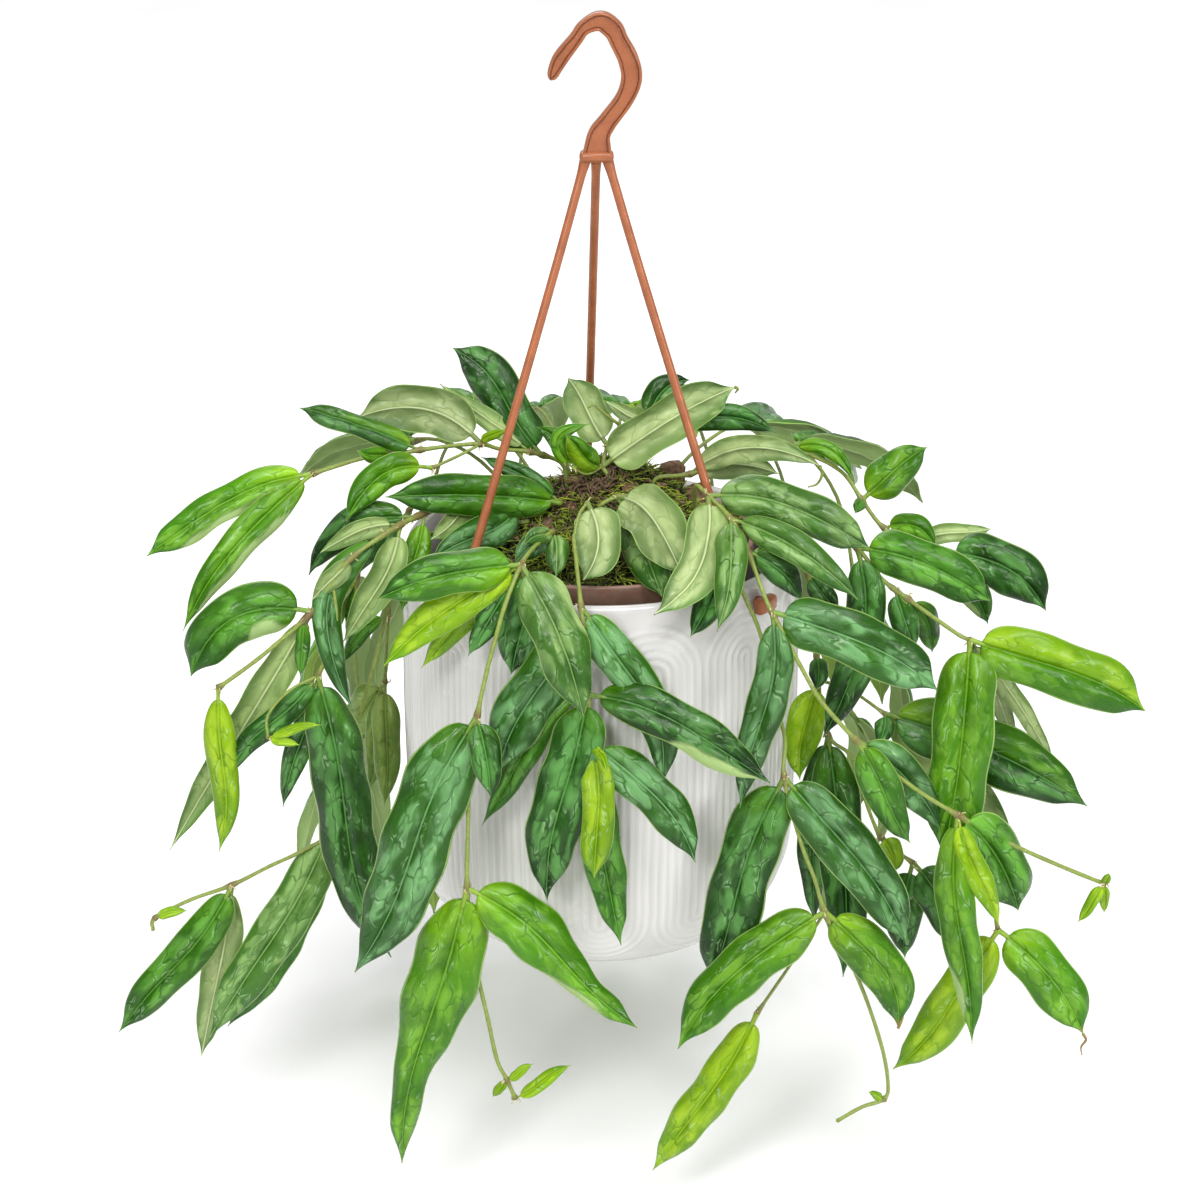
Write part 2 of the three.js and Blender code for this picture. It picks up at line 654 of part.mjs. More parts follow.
const FRONT_CROWN = [
  {
    thick: 1.5,
    root: [2, -17],
    run: [[600, 506, 24], [618, 497, 22], [646, 496, 20]],
    leaves: [
      [1, [662, 597, 70], 16, 1, -1, 0, "sage"],
      [1, [684, 578, 67], 21, 5, 5, 0, "pale"],
    ],
  },
];

const CROWN_TOP = [
  {
    thick: 1.5,
    root: [3, 3],
    run: [[603, 466, -5], [608, 446, -8], [622, 426, -12], [645, 420, -14], [675, 430, -15]],
    leaves: [
      [0, [735, 387, -8], 18, 2, 2, 0, "pale"],
      [0, [565, 434, 6], 10.5, 2, 2, 0, "bright"],
      [1, [568, 378, -34], 16, 0, 1, 0, "pale"],
      [3, [606, 402, -18], 6.5, 1, 1, 0, "pale"],
      [3, [690, 380, -26], 12, 4, 1, 0, "deep"],
      [4, [776, 433, -18], 11, 6, 1, 0, "deep"],
    ],
  },
  {
    thick: 1.1,
    run: [[603, 466, -5], [588, 474, 0], [575, 470, 3]],
    leaves: [
      [2, [537, 427, -4], 9, -3, 1, 0, "bright"],
      [2, [590, 424, 2], 6.5, 10, 1, 0, "bright"],
    ],
  },
];

const FRONT_MIDDLE = [
  {
    thick: 1.4,
    root: [-7, -39],
    run: [[574, 535, 58], [576, 560, 70], [581, 607, 86], [585, 650, 88], [588, 695, 90], [592, 744, 92]],
    leaves: [
      [2, [661, 788, 94], 16, 8, 2, 0, "teal"],
      [2.4, [497, 775, 92], 21.5, -3, 2, 0, "deep"],
      [3.3, [482, 825, 86], 13, -2, 1, 0, "mid"],
      [4, [770, 783, 108], 17, 5, 4, 0, "deep"],
      [4, [547, 900, 98], 22, -2, 3, 0, "deep"],
      [5, [695, 862, 102], 16.5, 5, 3, 0, "teal"],
      [5, [621, 945, 91], 16, -2, 0, 0, "mid"],
      [5, [594, 878, 108], 12.5, 2, 3, 0, "lime", "blunt"],
      [5, [606, 772, 107], 3.5, 1, 1, 0, "lime"],
    ],
  },
  {
    thick: 1.1,
    run: [[574, 535, 58], [579, 515, 52], [587, 503, 44]],
    leaves: [[2, [583, 581, 66], 18, 5, 4, 0, "pale"]],
  },
];

const RIGHT_TOP = [
  {
    thick: 1.5,
    root: [22, 8],
    run: [[690, 474, -8], [740, 457, -4], [790, 450, 0], [822, 460, 4], [845, 475, 6], [862, 500, 10],
      [884, 528, 14], [915, 542, 17], [943, 552, 20]],
    leaves: [
      [0, [820, 466, 8], 11, 9, 4, 0, "pale"],
      [0, [779, 474, -12], 12, 4, 2, 0, "pale"],
      [2, [853, 481, 10], 6.5, 7, 2, 0, "bright"],
      [5, [927, 447, 4], 16.5, 1, 2, 0, "bright", "blunt"],
      [5, [855, 513, 18], 5, 0, 1, 0, "mid"],
      [6, [936, 548, 24], 10, 5, 2, 0, "bright"],
      [7, [992, 529, 8], 8, 1, 1, 0, "pale"],
      [8, [1046, 611, 34], 20, 7, 2, 0, "deep"],
      [8, [988, 624, 22], 13, 2, 2, 0, "mid"],
    ],
  },
];

const RIGHT_MIDDLE = [
  {
    thick: 1.5,
    root: [36, -10],
    run: [[702, 505, 16], [735, 510, 24], [770, 516, 30], [800, 526, 36], [830, 536, 42], [857, 548, 46],
      [882, 579, 50], [908, 599, 54], [933, 617, 56], [959, 635, 58], [970, 640, 60]],
    leaves: [
      [5, [990, 601, 58], 18, 4, 3, 0, "mid", "blunt"],
      [5, [823, 737, 62], 16, 8, 2, 0, "deep"],
      [6.5, [914, 650, 57], 11, 0, 1, 0, "deep"],
      [7, [932, 652, 42], 10, 3, 1, 0, "mid"],
      [10, [1145, 711, 68], 22, 3, 4, 0, "bright", "blunt"],
      [10, [942, 856, 80], 23.5, 2, 4, 0, "bright", "blunt"],
      [10, [1016, 758, 30], 7.5, 2, 1, 0, "pale"],
      [10, [1055, 768, 38], 7.5, 2, 1, 0, "pale"],
      [10, [987, 745, 32], 7.5, 1, 1, 0, "pale"],
    ],
  },
];

const RIGHT_LONG = [
  {
    thick: 1.5,
    root: [38, -22],
    run: [[695, 488, 37], [708, 496, 45], [731, 519, 55], [748, 552, 65], [764, 595, 76], [772, 612, 80],
      [800, 665, 86], [821, 701, 88], [856, 740, 90], [894, 773, 90], [926, 796, 90], [958, 815, 90],
      [1003, 840, 88], [1044, 859, 86], [1092, 879, 82], [1105, 883, 82]],
    leaves: [
      [1, [870, 549, 62], 16.5, 6, 3, 0, "sage"],
      [1, [654, 615, 91], 17, 8, 4, 0, "pale"],
      [3, [802, 601, 62], 11, 3, 2, 0, "deep"],
      [3, [780, 574, 52], 8, 2, 1, 0, "sage"],
      [2, [858, 600, 78], 12.5, 4, 3, 0, "sage"],
      [2, [717, 632, 97], 12.5, 2, 7, 0, "sage"],
      [5, [937, 690, 88], 20.5, 4, 4, 0, "teal", "blunt"],
      [5, [740, 808, 90], 15, 3, 4, 0, "teal"],
      [8, [910, 843, 94], 15, 0, 2, 0, "mid"],
      [8, [940, 830, 82], 15.5, 4, 1, 0, "teal"],
      [11, [972, 1044, 100], 15, -2, 3, 0, "bright"],
      [11, [1018, 910, 84], 21, 4, 1, 0, "mid", "blunt"],
      [11, [999, 926, 97], 10, -1, 2, 0, "lime"],
      [15, [1078, 922, 84], 5, 0, 1, 0, "lime"],
      [15, [1104, 912, 82], 4, 0, 1, 0, "lime"],
      [15, [1109, 873, 84], 3.5, 0, 1, 0, "lime"],
    ],
  },
  {
    thick: 1.2,
    run: [[958, 815, 90], [985, 870, 81], [998, 930, 80]],
    leaves: [
      [2, [1083, 1034, 90], 20.5, 4, 3, 0, "bright"],
      [2, [893, 1069, 78], 18, 3, 2, 0, "lime"],
    ],
  },
];

const RIGHT_LOW = [
  {
    thick: 1.4,
    root: [32, -34],
    run: [[700, 560, 50], [732, 576, 62], [748, 604, 72], [762, 640, 75], [775, 700, 75], [785, 740, 78],
      [784, 778, 84], [800, 840, 90], [815, 880, 92], [825, 912, 94], [859, 981, 94], [881, 1044, 92],
      [888, 1083, 90], [884, 1099, 90], [862, 1107, 92], [837, 1121, 94]],
    leaves: [
      [0.5, [690, 637, 86], 11.5, 2, 2, 0, "deep"],
      [6, [712, 988, 91], 22.5, -3, 3, 0, "deep", "blunt"],
      [6, [907, 945, 98], 21, 4, 3, 0, "teal"],
      [9, [678, 1049, 110], 20, -6, 4, 0, "bright"],
      [9, [898, 1028, 98], 19, 7, 2, 0, "bright"],
      [13, [869, 1092, 88], 3.5, 0, 1, 0, "lime"],
    ],
  },
  {
    thick: 1.2,
    run: [[825, 912, 94], [795, 958, 89], [757, 1013, 88]],
    leaves: [[2, [653, 1170, 94], 16.5, 2, 3, 0, "lime"]],
  },
];

const RIGHT_BACK = [
  {
    thick: 1.4,
    root: [44, 8],
    run: [[740, 500, -2], [775, 512, 2], [795, 537, 9], [808, 575, 16], [815, 620, 24], [818, 680, 30],
      [828, 735, 36], [850, 755, 42], [862, 790, 46], [881, 837, 50], [913, 863, 52]],
    leaves: [
      [3, [838, 613, 26], 10, 0, 1, 0, "deep"],
      [5, [800, 780, 42], 15, -2, 1, 0, "lime"],
      [4.6, [816, 690, 42], 8, 1, 1, 0, "deep"],
      [6, [843, 977, 66], 19, 3, 3, 0, "deep"],
      [6, [815, 925, 40], 14, -3, 1, 0, "deep"],
      [9, [893, 873, 58], 10, 2, 1, 0, "lime"],
      [10, [905, 958, 60], 15.5, -2, 2, 0, "deep"],
      [10, [962, 945, 64], 17.5, 2, 2, 0, "deep"],
    ],
  },
  {
    thick: 1.2,
    run: [[818, 680, 30], [850, 690, 40], [885, 714, 48]],
    leaves: [
      [2, [1087, 806, 60], 24.5, 4, 3, 0, "deep"],
      [2, [1014, 848, 46], 17.5, 2, 1, 0, "pale"],
      [2, [878, 745, 56], 8, 1, 1, 0, "deep"],
    ],
  },
];

// Stems behind the pot, that the front view does not show: turn from the front, and how
// low the stem hangs
const BACK_STEMS = [
  [113, -300],
  [134, -352],
  [154, -318],
  [173, -372],
  [199, -330],
  [221, -380],
  [243, -312],
];
const BACK_LEAF_PAIRS = 3;
const BACK_THICK = 1.4;
const BACK_ROOT_RADIUS = 40;
const BACK_SHOULDER = [[60, -178], [86, -176]];
const BACK_FALL = [[108, -200], [118, -240]];
const BACK_BELLY_RADIUS = 121;
const BACK_END_RADIUS = 118;

// The same run of chances each time
function chances(seed) {
  let state = seed;
  return (low, high) => {
    state = (state * 1664525 + 1013904223) % 4294967296;
    return low + (high - low) * (state / 4294967296);
  };
}

// A stem with pairs of leaves, the first pair at the shoulder and the last at its end
function backStem(index) {
  const [turn, low] = BACK_STEMS[index];
  const chance = chances(400 + index);
  const outward = around(turn, 1, 0);
  const sideways = new THREE.Vector3(0, 0, 1).cross(outward);
  const root = around(turn, BACK_ROOT_RADIUS, 0);
  const rise = chance(0, 5);
  const bend = BACK_FALL[1][1];
  const places = [
    ...rootPlaces([root.x, root.y]),
    ...BACK_SHOULDER.map(([radius, z]) => around(turn, radius, z + rise)),
    ...BACK_FALL.map(([radius, z]) => around(turn, radius, z)),
    around(turn, BACK_BELLY_RADIUS, (low + bend) / 2),
    around(turn, BACK_END_RADIUS, low),
  ];
  const made = [solid(stemTube(places, BACK_THICK))];
  for (let pair = 0; pair < BACK_LEAF_PAIRS; pair += 1) {
    const base = placeAlong(places, 3 + (4 * pair) / (BACK_LEAF_PAIRS - 1));
    for (const hand of [-1, 1]) {
      const drop = pair === 0 ? chance(12, 32) : chance(60, 84);
      const spread = pair === 0 ? chance(20, 30) : chance(15, 22);
      const away = pair === 0 ? chance(40, 56) : chance(4, 30);
      const tip = base.clone().addScaledVector(sideways, hand * spread).addScaledVector(outward, away);
      tip.z -= drop;
      const facing = outward.clone().add(new THREE.Vector3(0, 0, 0.4)).normalize();
      made.push(
        solid(blade({
          base, tip, facing,
          width: chance(16, 23),
          side: hand * chance(1, 5),
          arch: chance(4, 9),
          roll: chance(-12, 12),
          under: false,
          stations: SMALL,
        })),
      );
    }
  }
  return piece(`stem_back_${index + 1}`, joined(made), MATERIALS.leaf);
}

const FRONT_STEMS = {
  stem_left_top: LEFT_TOP,
  stem_left_long: LEFT_LONG,
  stem_left_low: LEFT_LOW,
  stem_left_back: LEFT_BACK,
  stem_front_left: FRONT_LEFT,
  stem_front_crown: FRONT_CROWN,
  stem_crown_top: CROWN_TOP,
  stem_front_middle: FRONT_MIDDLE,
  stem_right_top: RIGHT_TOP,
  stem_right_middle: RIGHT_MIDDLE,
  stem_right_long: RIGHT_LONG,
  stem_right_low: RIGHT_LOW,
  stem_right_back: RIGHT_BACK,
};

// Where each stem stands in the mix, and how thick it is
function plantRoots() {
  const front = Object.values(FRONT_STEMS).map(([main]) => [...main.root, main.thick]);
  const back = BACK_STEMS.map(([turn]) => {
    const root = around(turn, BACK_ROOT_RADIUS, 0);
    return [root.x, root.y, BACK_THICK];
  });
  return [...front, ...back];
}

const plant = new THREE.Group();
plant.add(cachepot(), nurseryPot(), pottingMix(plantRoots()), hanger());
for (const [name, shoots] of Object.entries(FRONT_STEMS)) plant.add(leafyStem(name, shoots));
BACK_STEMS.forEach((_, index) => plant.add(backStem(index)));

export default plant;
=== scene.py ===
import math

import bmesh
import bpy
import numpy as np
from mathutils import Matrix, Vector, noise


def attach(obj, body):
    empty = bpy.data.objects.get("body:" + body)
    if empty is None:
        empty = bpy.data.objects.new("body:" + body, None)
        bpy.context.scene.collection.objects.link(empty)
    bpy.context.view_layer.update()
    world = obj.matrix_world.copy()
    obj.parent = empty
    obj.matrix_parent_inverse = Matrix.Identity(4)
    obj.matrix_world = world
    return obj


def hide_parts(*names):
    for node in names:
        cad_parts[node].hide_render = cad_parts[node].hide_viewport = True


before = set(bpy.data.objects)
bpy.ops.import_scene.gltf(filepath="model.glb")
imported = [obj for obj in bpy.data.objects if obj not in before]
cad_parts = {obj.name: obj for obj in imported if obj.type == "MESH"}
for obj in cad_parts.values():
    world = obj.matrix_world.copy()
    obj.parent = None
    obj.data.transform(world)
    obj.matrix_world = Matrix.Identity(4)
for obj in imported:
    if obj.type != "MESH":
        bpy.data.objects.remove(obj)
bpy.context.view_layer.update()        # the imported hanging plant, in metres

# The viewpoint
# The plant hangs at eye level for a viewer who looks a little down into its pot. The stems
# below are laid out by where they show from here. Sizes are in millimetres from the hook's seat.
MM = 0.001
PICTURE_WIDTH = 1200
SENSOR_WIDTH = 36
LENS_PIXELS = 2440
EYE_DISTANCE = 1000
EYE_ASIDE = -0.4
AXIS_COLUMN, LEVEL_ROW, LEVEL_Z = 601, 600, -229.8
PITCH = math.radians(22)
DIP, REACH = math.sin(PITCH), math.cos(PITCH)
EYE = np.array([0.0, -EYE_DISTANCE * REACH, LEVEL_Z + EYE_DISTANCE * DIP])

camera_data = bpy.data.cameras.new("viewpoint")
camera_data.sensor_width = SENSOR_WIDTH
camera_data.lens = SENSOR_WIDTH * LENS_PIXELS / PICTURE_WIDTH
camera = bpy.data.objects.new("viewpoint", camera_data)
camera.location = Vector(EYE) * MM
camera.location.x = EYE_ASIDE * MM
camera.rotation_euler = (math.pi / 2 - PITCH, 0, 0)
bpy.context.scene.collection.objects.link(camera)
bpy.context.scene.camera = camera


# The cachepot
# A slip-cast ceramic outer pot under a glossy off-white glaze. Its wall carries fine raised
# lines in concentric arches under the rim and bows above the foot. The glaze thins on the lines;
# off them it is darker, partly where glaze pools and partly as painted shade in the grooves.
POT_RIM_Z = -201.5
POT_HEIGHT = 166.5
POT_RIM_RADIUS = 78.5
POT_BELLY = 1.4
POT_CORNER_RADIUS = 79.5
POT_CORNER_HEIGHT = 42
POT_FOOT_RADIUS = 47
POT_WALL = 4.5
POT_FLOOR = 6.5
POT_LIP_RISE = 1.4
POT_LIP_FROM = 0.3
POT_LIP_ROWS = 7
POT_INSIDE_LEVELS = (150, 100, 60, 36, 22, 14)
POT_PLAIN_FOOT = 1
POT_SEGMENTS = 560
POT_CORNER_ROWS = 50
POT_WALL_ROWS = 100
RELIEF_COLUMNS = 12
RELIEF_TURN = 14.5
RELIEF_TOP_MARGIN = 8
RELIEF_FOOT_MARGIN = 10
RELIEF_LINES = 6
RELIEF_WAVE = 0.55
RELIEF_LINE_HEIGHT = 0.72
GLAZE = (0.63, 0.62, 0.61)
GLAZE_POOLED_AND_SHADED = (0.52, 0.506, 0.492)


def new_material(name, roughness):
    material = bpy.data.materials.new(name)
    material.use_nodes = True
    shader = material.node_tree.nodes["Principled BSDF"]
    shader.inputs["Roughness"].default_value = roughness
    return material, material.node_tree, shader


def add_node(tree, kind, inputs=None, **settings):
    node = tree.nodes.new(kind)
    for key, value in settings.items():
        setattr(node, key, value)
    for key, value in (inputs or {}).items():
        if isinstance(value, bpy.types.NodeSocket):
            tree.links.new(value, node.inputs[key])
        else:
            node.inputs[key].default_value = value
    return node


def colour_mix(tree, share, first, second):
    """Blends two colours, each a socket or a plain (r, g, b), by a share from 0 to 1."""
    node = add_node(tree, "ShaderNodeMix", data_type="RGBA", clamp_factor=True)
    for socket, value in ((node.inputs[0], share), (node.inputs[6], first), (node.inputs[7], second)):
        if isinstance(value, bpy.types.NodeSocket):
            tree.links.new(value, socket)
        elif isinstance(value, tuple):
            socket.default_value = (*value, 1)
        else:
            socket.default_value = value
    return node.outputs[2]


def coloured(tree, shader, share, first, second):
    """Gives a surface two colours, blended by a share."""
    tree.links.new(colour_mix(tree, share, first, second), shader.inputs["Base Color"])


def stretched(tree, value, low, high, to_low=0.0, to_high=1.0):
    """Maps a number from one range to another, held at its ends."""
    node = add_node(tree, "ShaderNodeMapRange", {"Value": value}, clamp=True)
    ends = {"From Min": low, "From Max": high, "To Min": to_low, "To Max": to_high}
    for key, end in ends.items():
        node.inputs[key].default_value = end
    return node.outputs["Result"]


def worked_out(tree, kind, first, second=0.0):
    """One step of arithmetic in a material, such as ADD or MULTIPLY."""
    return add_node(tree, "ShaderNodeMath", {0: first, 1: second}, operation=kind).outputs[0]


def read_back(tree, name, output="Fac"):
    """What the mesh stores at each point under this name."""
    return add_node(tree, "ShaderNodeAttribute", attribute_name=name).outputs[output]


def store(piece, name, values):
    """Stores one number at each point of the mesh, for its material to read back."""
    piece.data.attributes.new(name, "FLOAT", "POINT").data.foreach_set("value", values)


def body_noise(tree, scale, detail=4.0, roughness=0.55):
    """Noise in the object's own metres, so that it doesn't slide or need a UV map."""
    place = add_node(tree, "ShaderNodeTexCoord").outputs["Object"]
    inputs = {"Vector": place, "Scale": scale, "Detail": detail, "Roughness": roughness}
    return add_node(tree, "ShaderNodeTexNoise", inputs).outputs["Fac"]


def raised(tree, shader, height, strength, distance):
    """Lets fine relief stand up from the surface, by up to the distance in metres."""
    inputs = {"Height": height, "Strength": strength, "Distance": distance}
    bump = add_node(tree, "ShaderNodeBump", inputs)
    tree.links.new(bump.outputs["Normal"], shader.inputs["Normal"])


def new_piece(name, points, faces, material, replaces=None):
    """A mesh from places in millimetres, put with the part's one body."""
    mesh = bpy.data.meshes.new(name)
    mesh.from_pydata((np.asarray(points) * MM).tolist(), [], faces)
    mesh.polygons.foreach_set("use_smooth", [True] * len(mesh.polygons))
    mesh.materials.append(material)
    piece = bpy.data.objects.new(name, mesh)
    bpy.context.scene.collection.objects.link(piece)
    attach(piece, "root")
    if replaces:
        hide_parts(replaces)
    return piece


def ring_faces(rings, size, first=0):
    """Faces between rings of points that follow one another."""
    faces = []
    for i in range(rings - 1):
        for k in range(size):
            a = first + i * size + k
            b = first + i * size + (k + 1) % size
            faces.append((a, b, b + size, a + size))
    return faces


def closed_faces(rings, size, first=0):
    """Faces between rings and to the two end points, which come after the last ring."""
    faces = ring_faces(rings, size, first)
    start = first + rings * size
    last_ring = start - size
    for k in range(size):
        beside = (k + 1) % size
        faces.append((start, first + beside, first + k))
        faces.append((start + 1, last_ring + k, last_ring + beside))
    return faces


def turned(profile, segments):
    """Points and faces of a profile of (radius, height), from axis to axis, turned about Z."""
    turns = np.linspace(0, 2 * math.pi, segments, endpoint=False)
    rows = np.array(profile[1:-1])
    rings = [[(r * math.sin(a), -r * math.cos(a), z) for a in turns] for r, z in rows]
    ends = [(0, 0, profile[0][1]), (0, 0, profile[-1][1])]
    points = np.vstack([np.array(rings).reshape(-1, 3), ends])
    return points, closed_faces(len(rows), segments)


def pot_radius(height):
    """Outer radius of the cachepot: a round corner above the foot, then a slightly bellied wall."""
    if height < POT_CORNER_HEIGHT:
        rise = 1 - height / POT_CORNER_HEIGHT
        return POT_FOOT_RADIUS + (POT_CORNER_RADIUS - POT_FOOT_RADIUS) * math.sqrt(1 - rise * rise)
    up = (height - POT_CORNER_HEIGHT) / (POT_HEIGHT - POT_CORNER_HEIGHT)
    belly = POT_BELLY * math.sin(math.pi * up)
    return POT_CORNER_RADIUS + (POT_RIM_RADIUS - POT_CORNER_RADIUS) * up + belly


def relief_height(turns, height):
    """How far the raised lines stand out, for an array of turns in degrees at one height."""
    column = 360 / RELIEF_COLUMNS
    half = math.pi * POT_RIM_RADIUS / RELIEF_COLUMNS
    arch_level = POT_HEIGHT - RELIEF_TOP_MARGIN - half
    bow_level = RELIEF_FOOT_MARGIN + half
    shift = column / 2 if height < bow_level else 0
    across = (turns - RELIEF_TURN - shift) / column
    sideways = (across - np.round(across)) * 2 * half
    past = max(height - arch_level, bow_level - height, 0)
    distance = np.hypot(sideways, past)
    wave = 0.5 - 0.5 * np.cos(2 * math.pi * distance / half)
    line = 0.5 - 0.5 * np.cos(2 * math.pi * distance * RELIEF_LINES / half)
    return np.where(distance < half, RELIEF_WAVE * wave + RELIEF_LINE_HEIGHT * line, 0)


def make_cachepot():
    base = POT_RIM_Z - POT_HEIGHT
    corner = [POT_CORNER_HEIGHT * (1 - math.cos(0.5 * math.pi * i / POT_CORNER_ROWS))
              for i in range(POT_CORNER_ROWS)]
    wall = np.linspace(POT_CORNER_HEIGHT, POT_HEIGHT - POT_LIP_RISE, POT_WALL_ROWS).tolist()
    outside = [(pot_radius(h), base + h) for h in corner + wall]
    lip_middle = POT_RIM_RADIUS - POT_WALL / 2
    lip_foot = POT_RIM_Z - POT_LIP_RISE
    lip = [(lip_middle + POT_WALL / 2 * math.cos(a), lip_foot + POT_LIP_RISE * math.sin(a))
           for a in np.linspace(POT_LIP_FROM, math.pi - POT_LIP_FROM, POT_LIP_ROWS)]
    inside = [(pot_radius(h) - POT_WALL, base + h) for h in POT_INSIDE_LEVELS]
    floor = base + POT_FLOOR
    profile = [(0, base), *outside, *lip, *inside, (POT_FOOT_RADIUS, floor), (0, floor)]
    points, faces = turned(profile, POT_SEGMENTS)
    turns = np.degrees(np.linspace(0, 2 * math.pi, POT_SEGMENTS, endpoint=False))
    proud = np.zeros(len(points))
    for i, (radius, z) in enumerate(outside):
        row = slice(i * POT_SEGMENTS, (i + 1) * POT_SEGMENTS)
        proud[row] = relief_height(turns, z - base) if z - base > POT_PLAIN_FOOT else 0
        points[row, :2] *= ((radius + proud[row]) / radius)[:, None]

    glaze, tree, shader = new_material("white_glaze", 0.2)
    shader.inputs["Coat Weight"].default_value = 0.35
    shader.inputs["Coat Roughness"].default_value = 0.08
    shader.inputs["Specular IOR Level"].default_value = 0.5
    mottle = body_noise(tree, 45, 6)
    # Off the raised lines the glaze is darker: partly glaze that pools, partly painted shade.
    pool_and_shade = stretched(tree, read_back(tree, "proud"), 0.05, 0.8, 0.75, 0.0)
    cloudy = stretched(tree, mottle, 0.35, 0.7, 0.0, 0.2)
    coloured(tree, shader, worked_out(tree, "ADD", pool_and_shade, cloudy), GLAZE, GLAZE_POOLED_AND_SHADED)
    tree.links.new(stretched(tree, mottle, 0.3, 0.75, 0.16, 0.3), shader.inputs["Roughness"])
    raised(tree, shader, body_noise(tree, 320, 3), 0.12, 0.0006)

    pot = new_piece("cachepot_glazed", points, faces, glaze, "cachepot")
    store(pot, "proud", proud)


make_cachepot()


# The nursery pot
# A thin taupe plastic growing pot with a rolled rim, blow-moulded, that stands loose on the
# cachepot's floor. Only its rim shows.
NURSERY_RIM_Z = -199.5
NURSERY_RIM_RADIUS = 62
NURSERY_RIM_HEIGHT = 9
NURSERY_BODY_RADIUS = 59
NURSERY_BASE_RADIUS = 43
NURSERY_WALL = 2
NURSERY_SEGMENTS = 144
STANDING_GAP = 0.3
NURSERY_BASE_Z = POT_RIM_Z - POT_HEIGHT + POT_FLOOR + STANDING_GAP
TAUPE = (0.21, 0.115, 0.08)
TAUPE_WORN = (0.31, 0.2, 0.15)


def make_nursery_pot():
    skirt = NURSERY_RIM_Z - NURSERY_RIM_HEIGHT
    roll = [(NURSERY_RIM_RADIUS - 1 + math.cos(a), NURSERY_RIM_Z - 1 + math.sin(a))
            for a in np.linspace(-0.4, math.pi, 9)]
    floor = NURSERY_BASE_Z + NURSERY_WALL
    profile = [
        (0, NURSERY_BASE_Z), (NURSERY_BASE_RADIUS - 1, NURSERY_BASE_Z),
        (NURSERY_BASE_RADIUS, NURSERY_BASE_Z + 1), (NURSERY_BODY_RADIUS, skirt - 0.6),
        (NURSERY_RIM_RADIUS - 0.8, skirt), (NURSERY_RIM_RADIUS - 0.1, skirt + 0.7), *roll,
        (NURSERY_RIM_RADIUS - NURSERY_WALL, skirt + 1), (NURSERY_BODY_RADIUS - NURSERY_WALL, skirt - 1),
        (NURSERY_BASE_RADIUS - NURSERY_WALL, floor), (0, floor),
    ]
    points, faces = turned(profile, NURSERY_SEGMENTS)
    plastic, tree, shader = new_material("taupe_plastic", 0.42)
    scuffs = body_noise(tree, 160, 8, 0.7)
    coloured(tree, shader, stretched(tree, scuffs, 0.45, 0.75, 0.0, 0.7), TAUPE, TAUPE_WORN)
    tree.links.new(stretched(tree, scuffs, 0.3, 0.7, 0.36, 0.6), shader.inputs["Roughness"])
    raised(tree, shader, body_noise(tree, 900, 3), 0.2, 0.0003)
    new_piece("nursery_pot_moulded", points, faces, plastic, "nursery_pot")


make_nursery_pot()


# The potting mix
# Bark, peat and root fibre in a low mound, with a hump behind the middle where the old root
# ball stands up. Loose flakes and a few larger nuggets of bark lie on it.
SOIL_EDGE_DROP = 5
SOIL_CROWN = 14
SOIL_HUMP = 16
SOIL_HUMP_PLACE = (8, 24)
SOIL_HUMP_SPREAD = 21
SOIL_LUMP = 0.8
SOIL_LUMP_RATES = (0.45, 0.38)
SOIL_CRUMB = 1.3
SOIL_CRUMB_RATE = 0.16
SOIL_CLEARANCE = 0.5
SOIL_SEGMENTS = 168
SOIL_RINGS = 56
PEAT = (0.014, 0.009, 0.005)
PEAT_DRY = (0.07, 0.038, 0.018)
PEAT_MOSSY = (0.085, 0.10, 0.018)
BARK_FLAKES = 60
BARK_REACH = 54
BARK_NUGGETS = [(29, 31), (40, 18), (14, -42)]
BARK = (0.09, 0.04, 0.02)
BARK_PALE = (0.24, 0.135, 0.075)


def soil_top(x, y):
    """Height of the mix, as its solid has it."""
    reach = min(1, math.hypot(x, y) / (NURSERY_BODY_RADIUS - NURSERY_WALL))
    hump_x, hump_y = SOIL_HUMP_PLACE
    away = math.hypot(x - hump_x, y - hump_y) / SOIL_HUMP_SPREAD
    level = NURSERY_RIM_Z - SOIL_EDGE_DROP + SOIL_CROWN * (1 - reach * reach)
    hump = SOIL_HUMP * math.exp(-0.5 * away * away) * (1 - reach ** 4)
    lump = SOIL_LUMP * math.sin(x * SOIL_LUMP_RATES[0]) * math.cos(y * SOIL_LUMP_RATES[1])
    return level + hump + lump


def crumbled_top(x, y):
    """Height of the mix with its crumbs."""
    crumb = noise.fractal(Vector((x * SOIL_CRUMB_RATE, y * SOIL_CRUMB_RATE, 3.7)), 0.6, 2.1, 5)
    return soil_top(x, y) + SOIL_CRUMB * crumb


def make_potting_mix():
    bottom = NURSERY_BASE_Z + NURSERY_WALL + STANDING_GAP
    skirt = NURSERY_RIM_Z - NURSERY_RIM_HEIGHT - 1
    edge = NURSERY_BODY_RADIUS - NURSERY_WALL - SOIL_CLEARANCE
    base = NURSERY_BASE_RADIUS - NURSERY_WALL - SOIL_CLEARANCE
    surface = [(edge * (1 - i / SOIL_RINGS), 0) for i in range(SOIL_RINGS)]
    points, faces = turned([(0, bottom), (base, bottom), (edge, skirt), *surface, (0, 0)], SOIL_SEGMENTS)
    # The surface is turned at height 0, and each of its points is then set to its own height.
    for i, (x, y, z) in enumerate(points):
        if z == 0:
            points[i, 2] = crumbled_top(x, y)
    mix, tree, shader = new_material("potting_mix", 0.95)
    grain = body_noise(tree, 420, 8, 0.7)
    patches = body_noise(tree, 55, 5)
    dry = colour_mix(tree, stretched(tree, grain, 0.42, 0.62), PEAT, PEAT_DRY)
    coloured(tree, shader, stretched(tree, patches, 0.42, 0.6, 0.0, 0.85), dry, PEAT_MOSSY)
    raised(tree, shader, grain, 0.9, 0.0018)
    new_piece("potting_mix_crumbled", points, faces, mix, "potting_mix")


make_potting_mix()


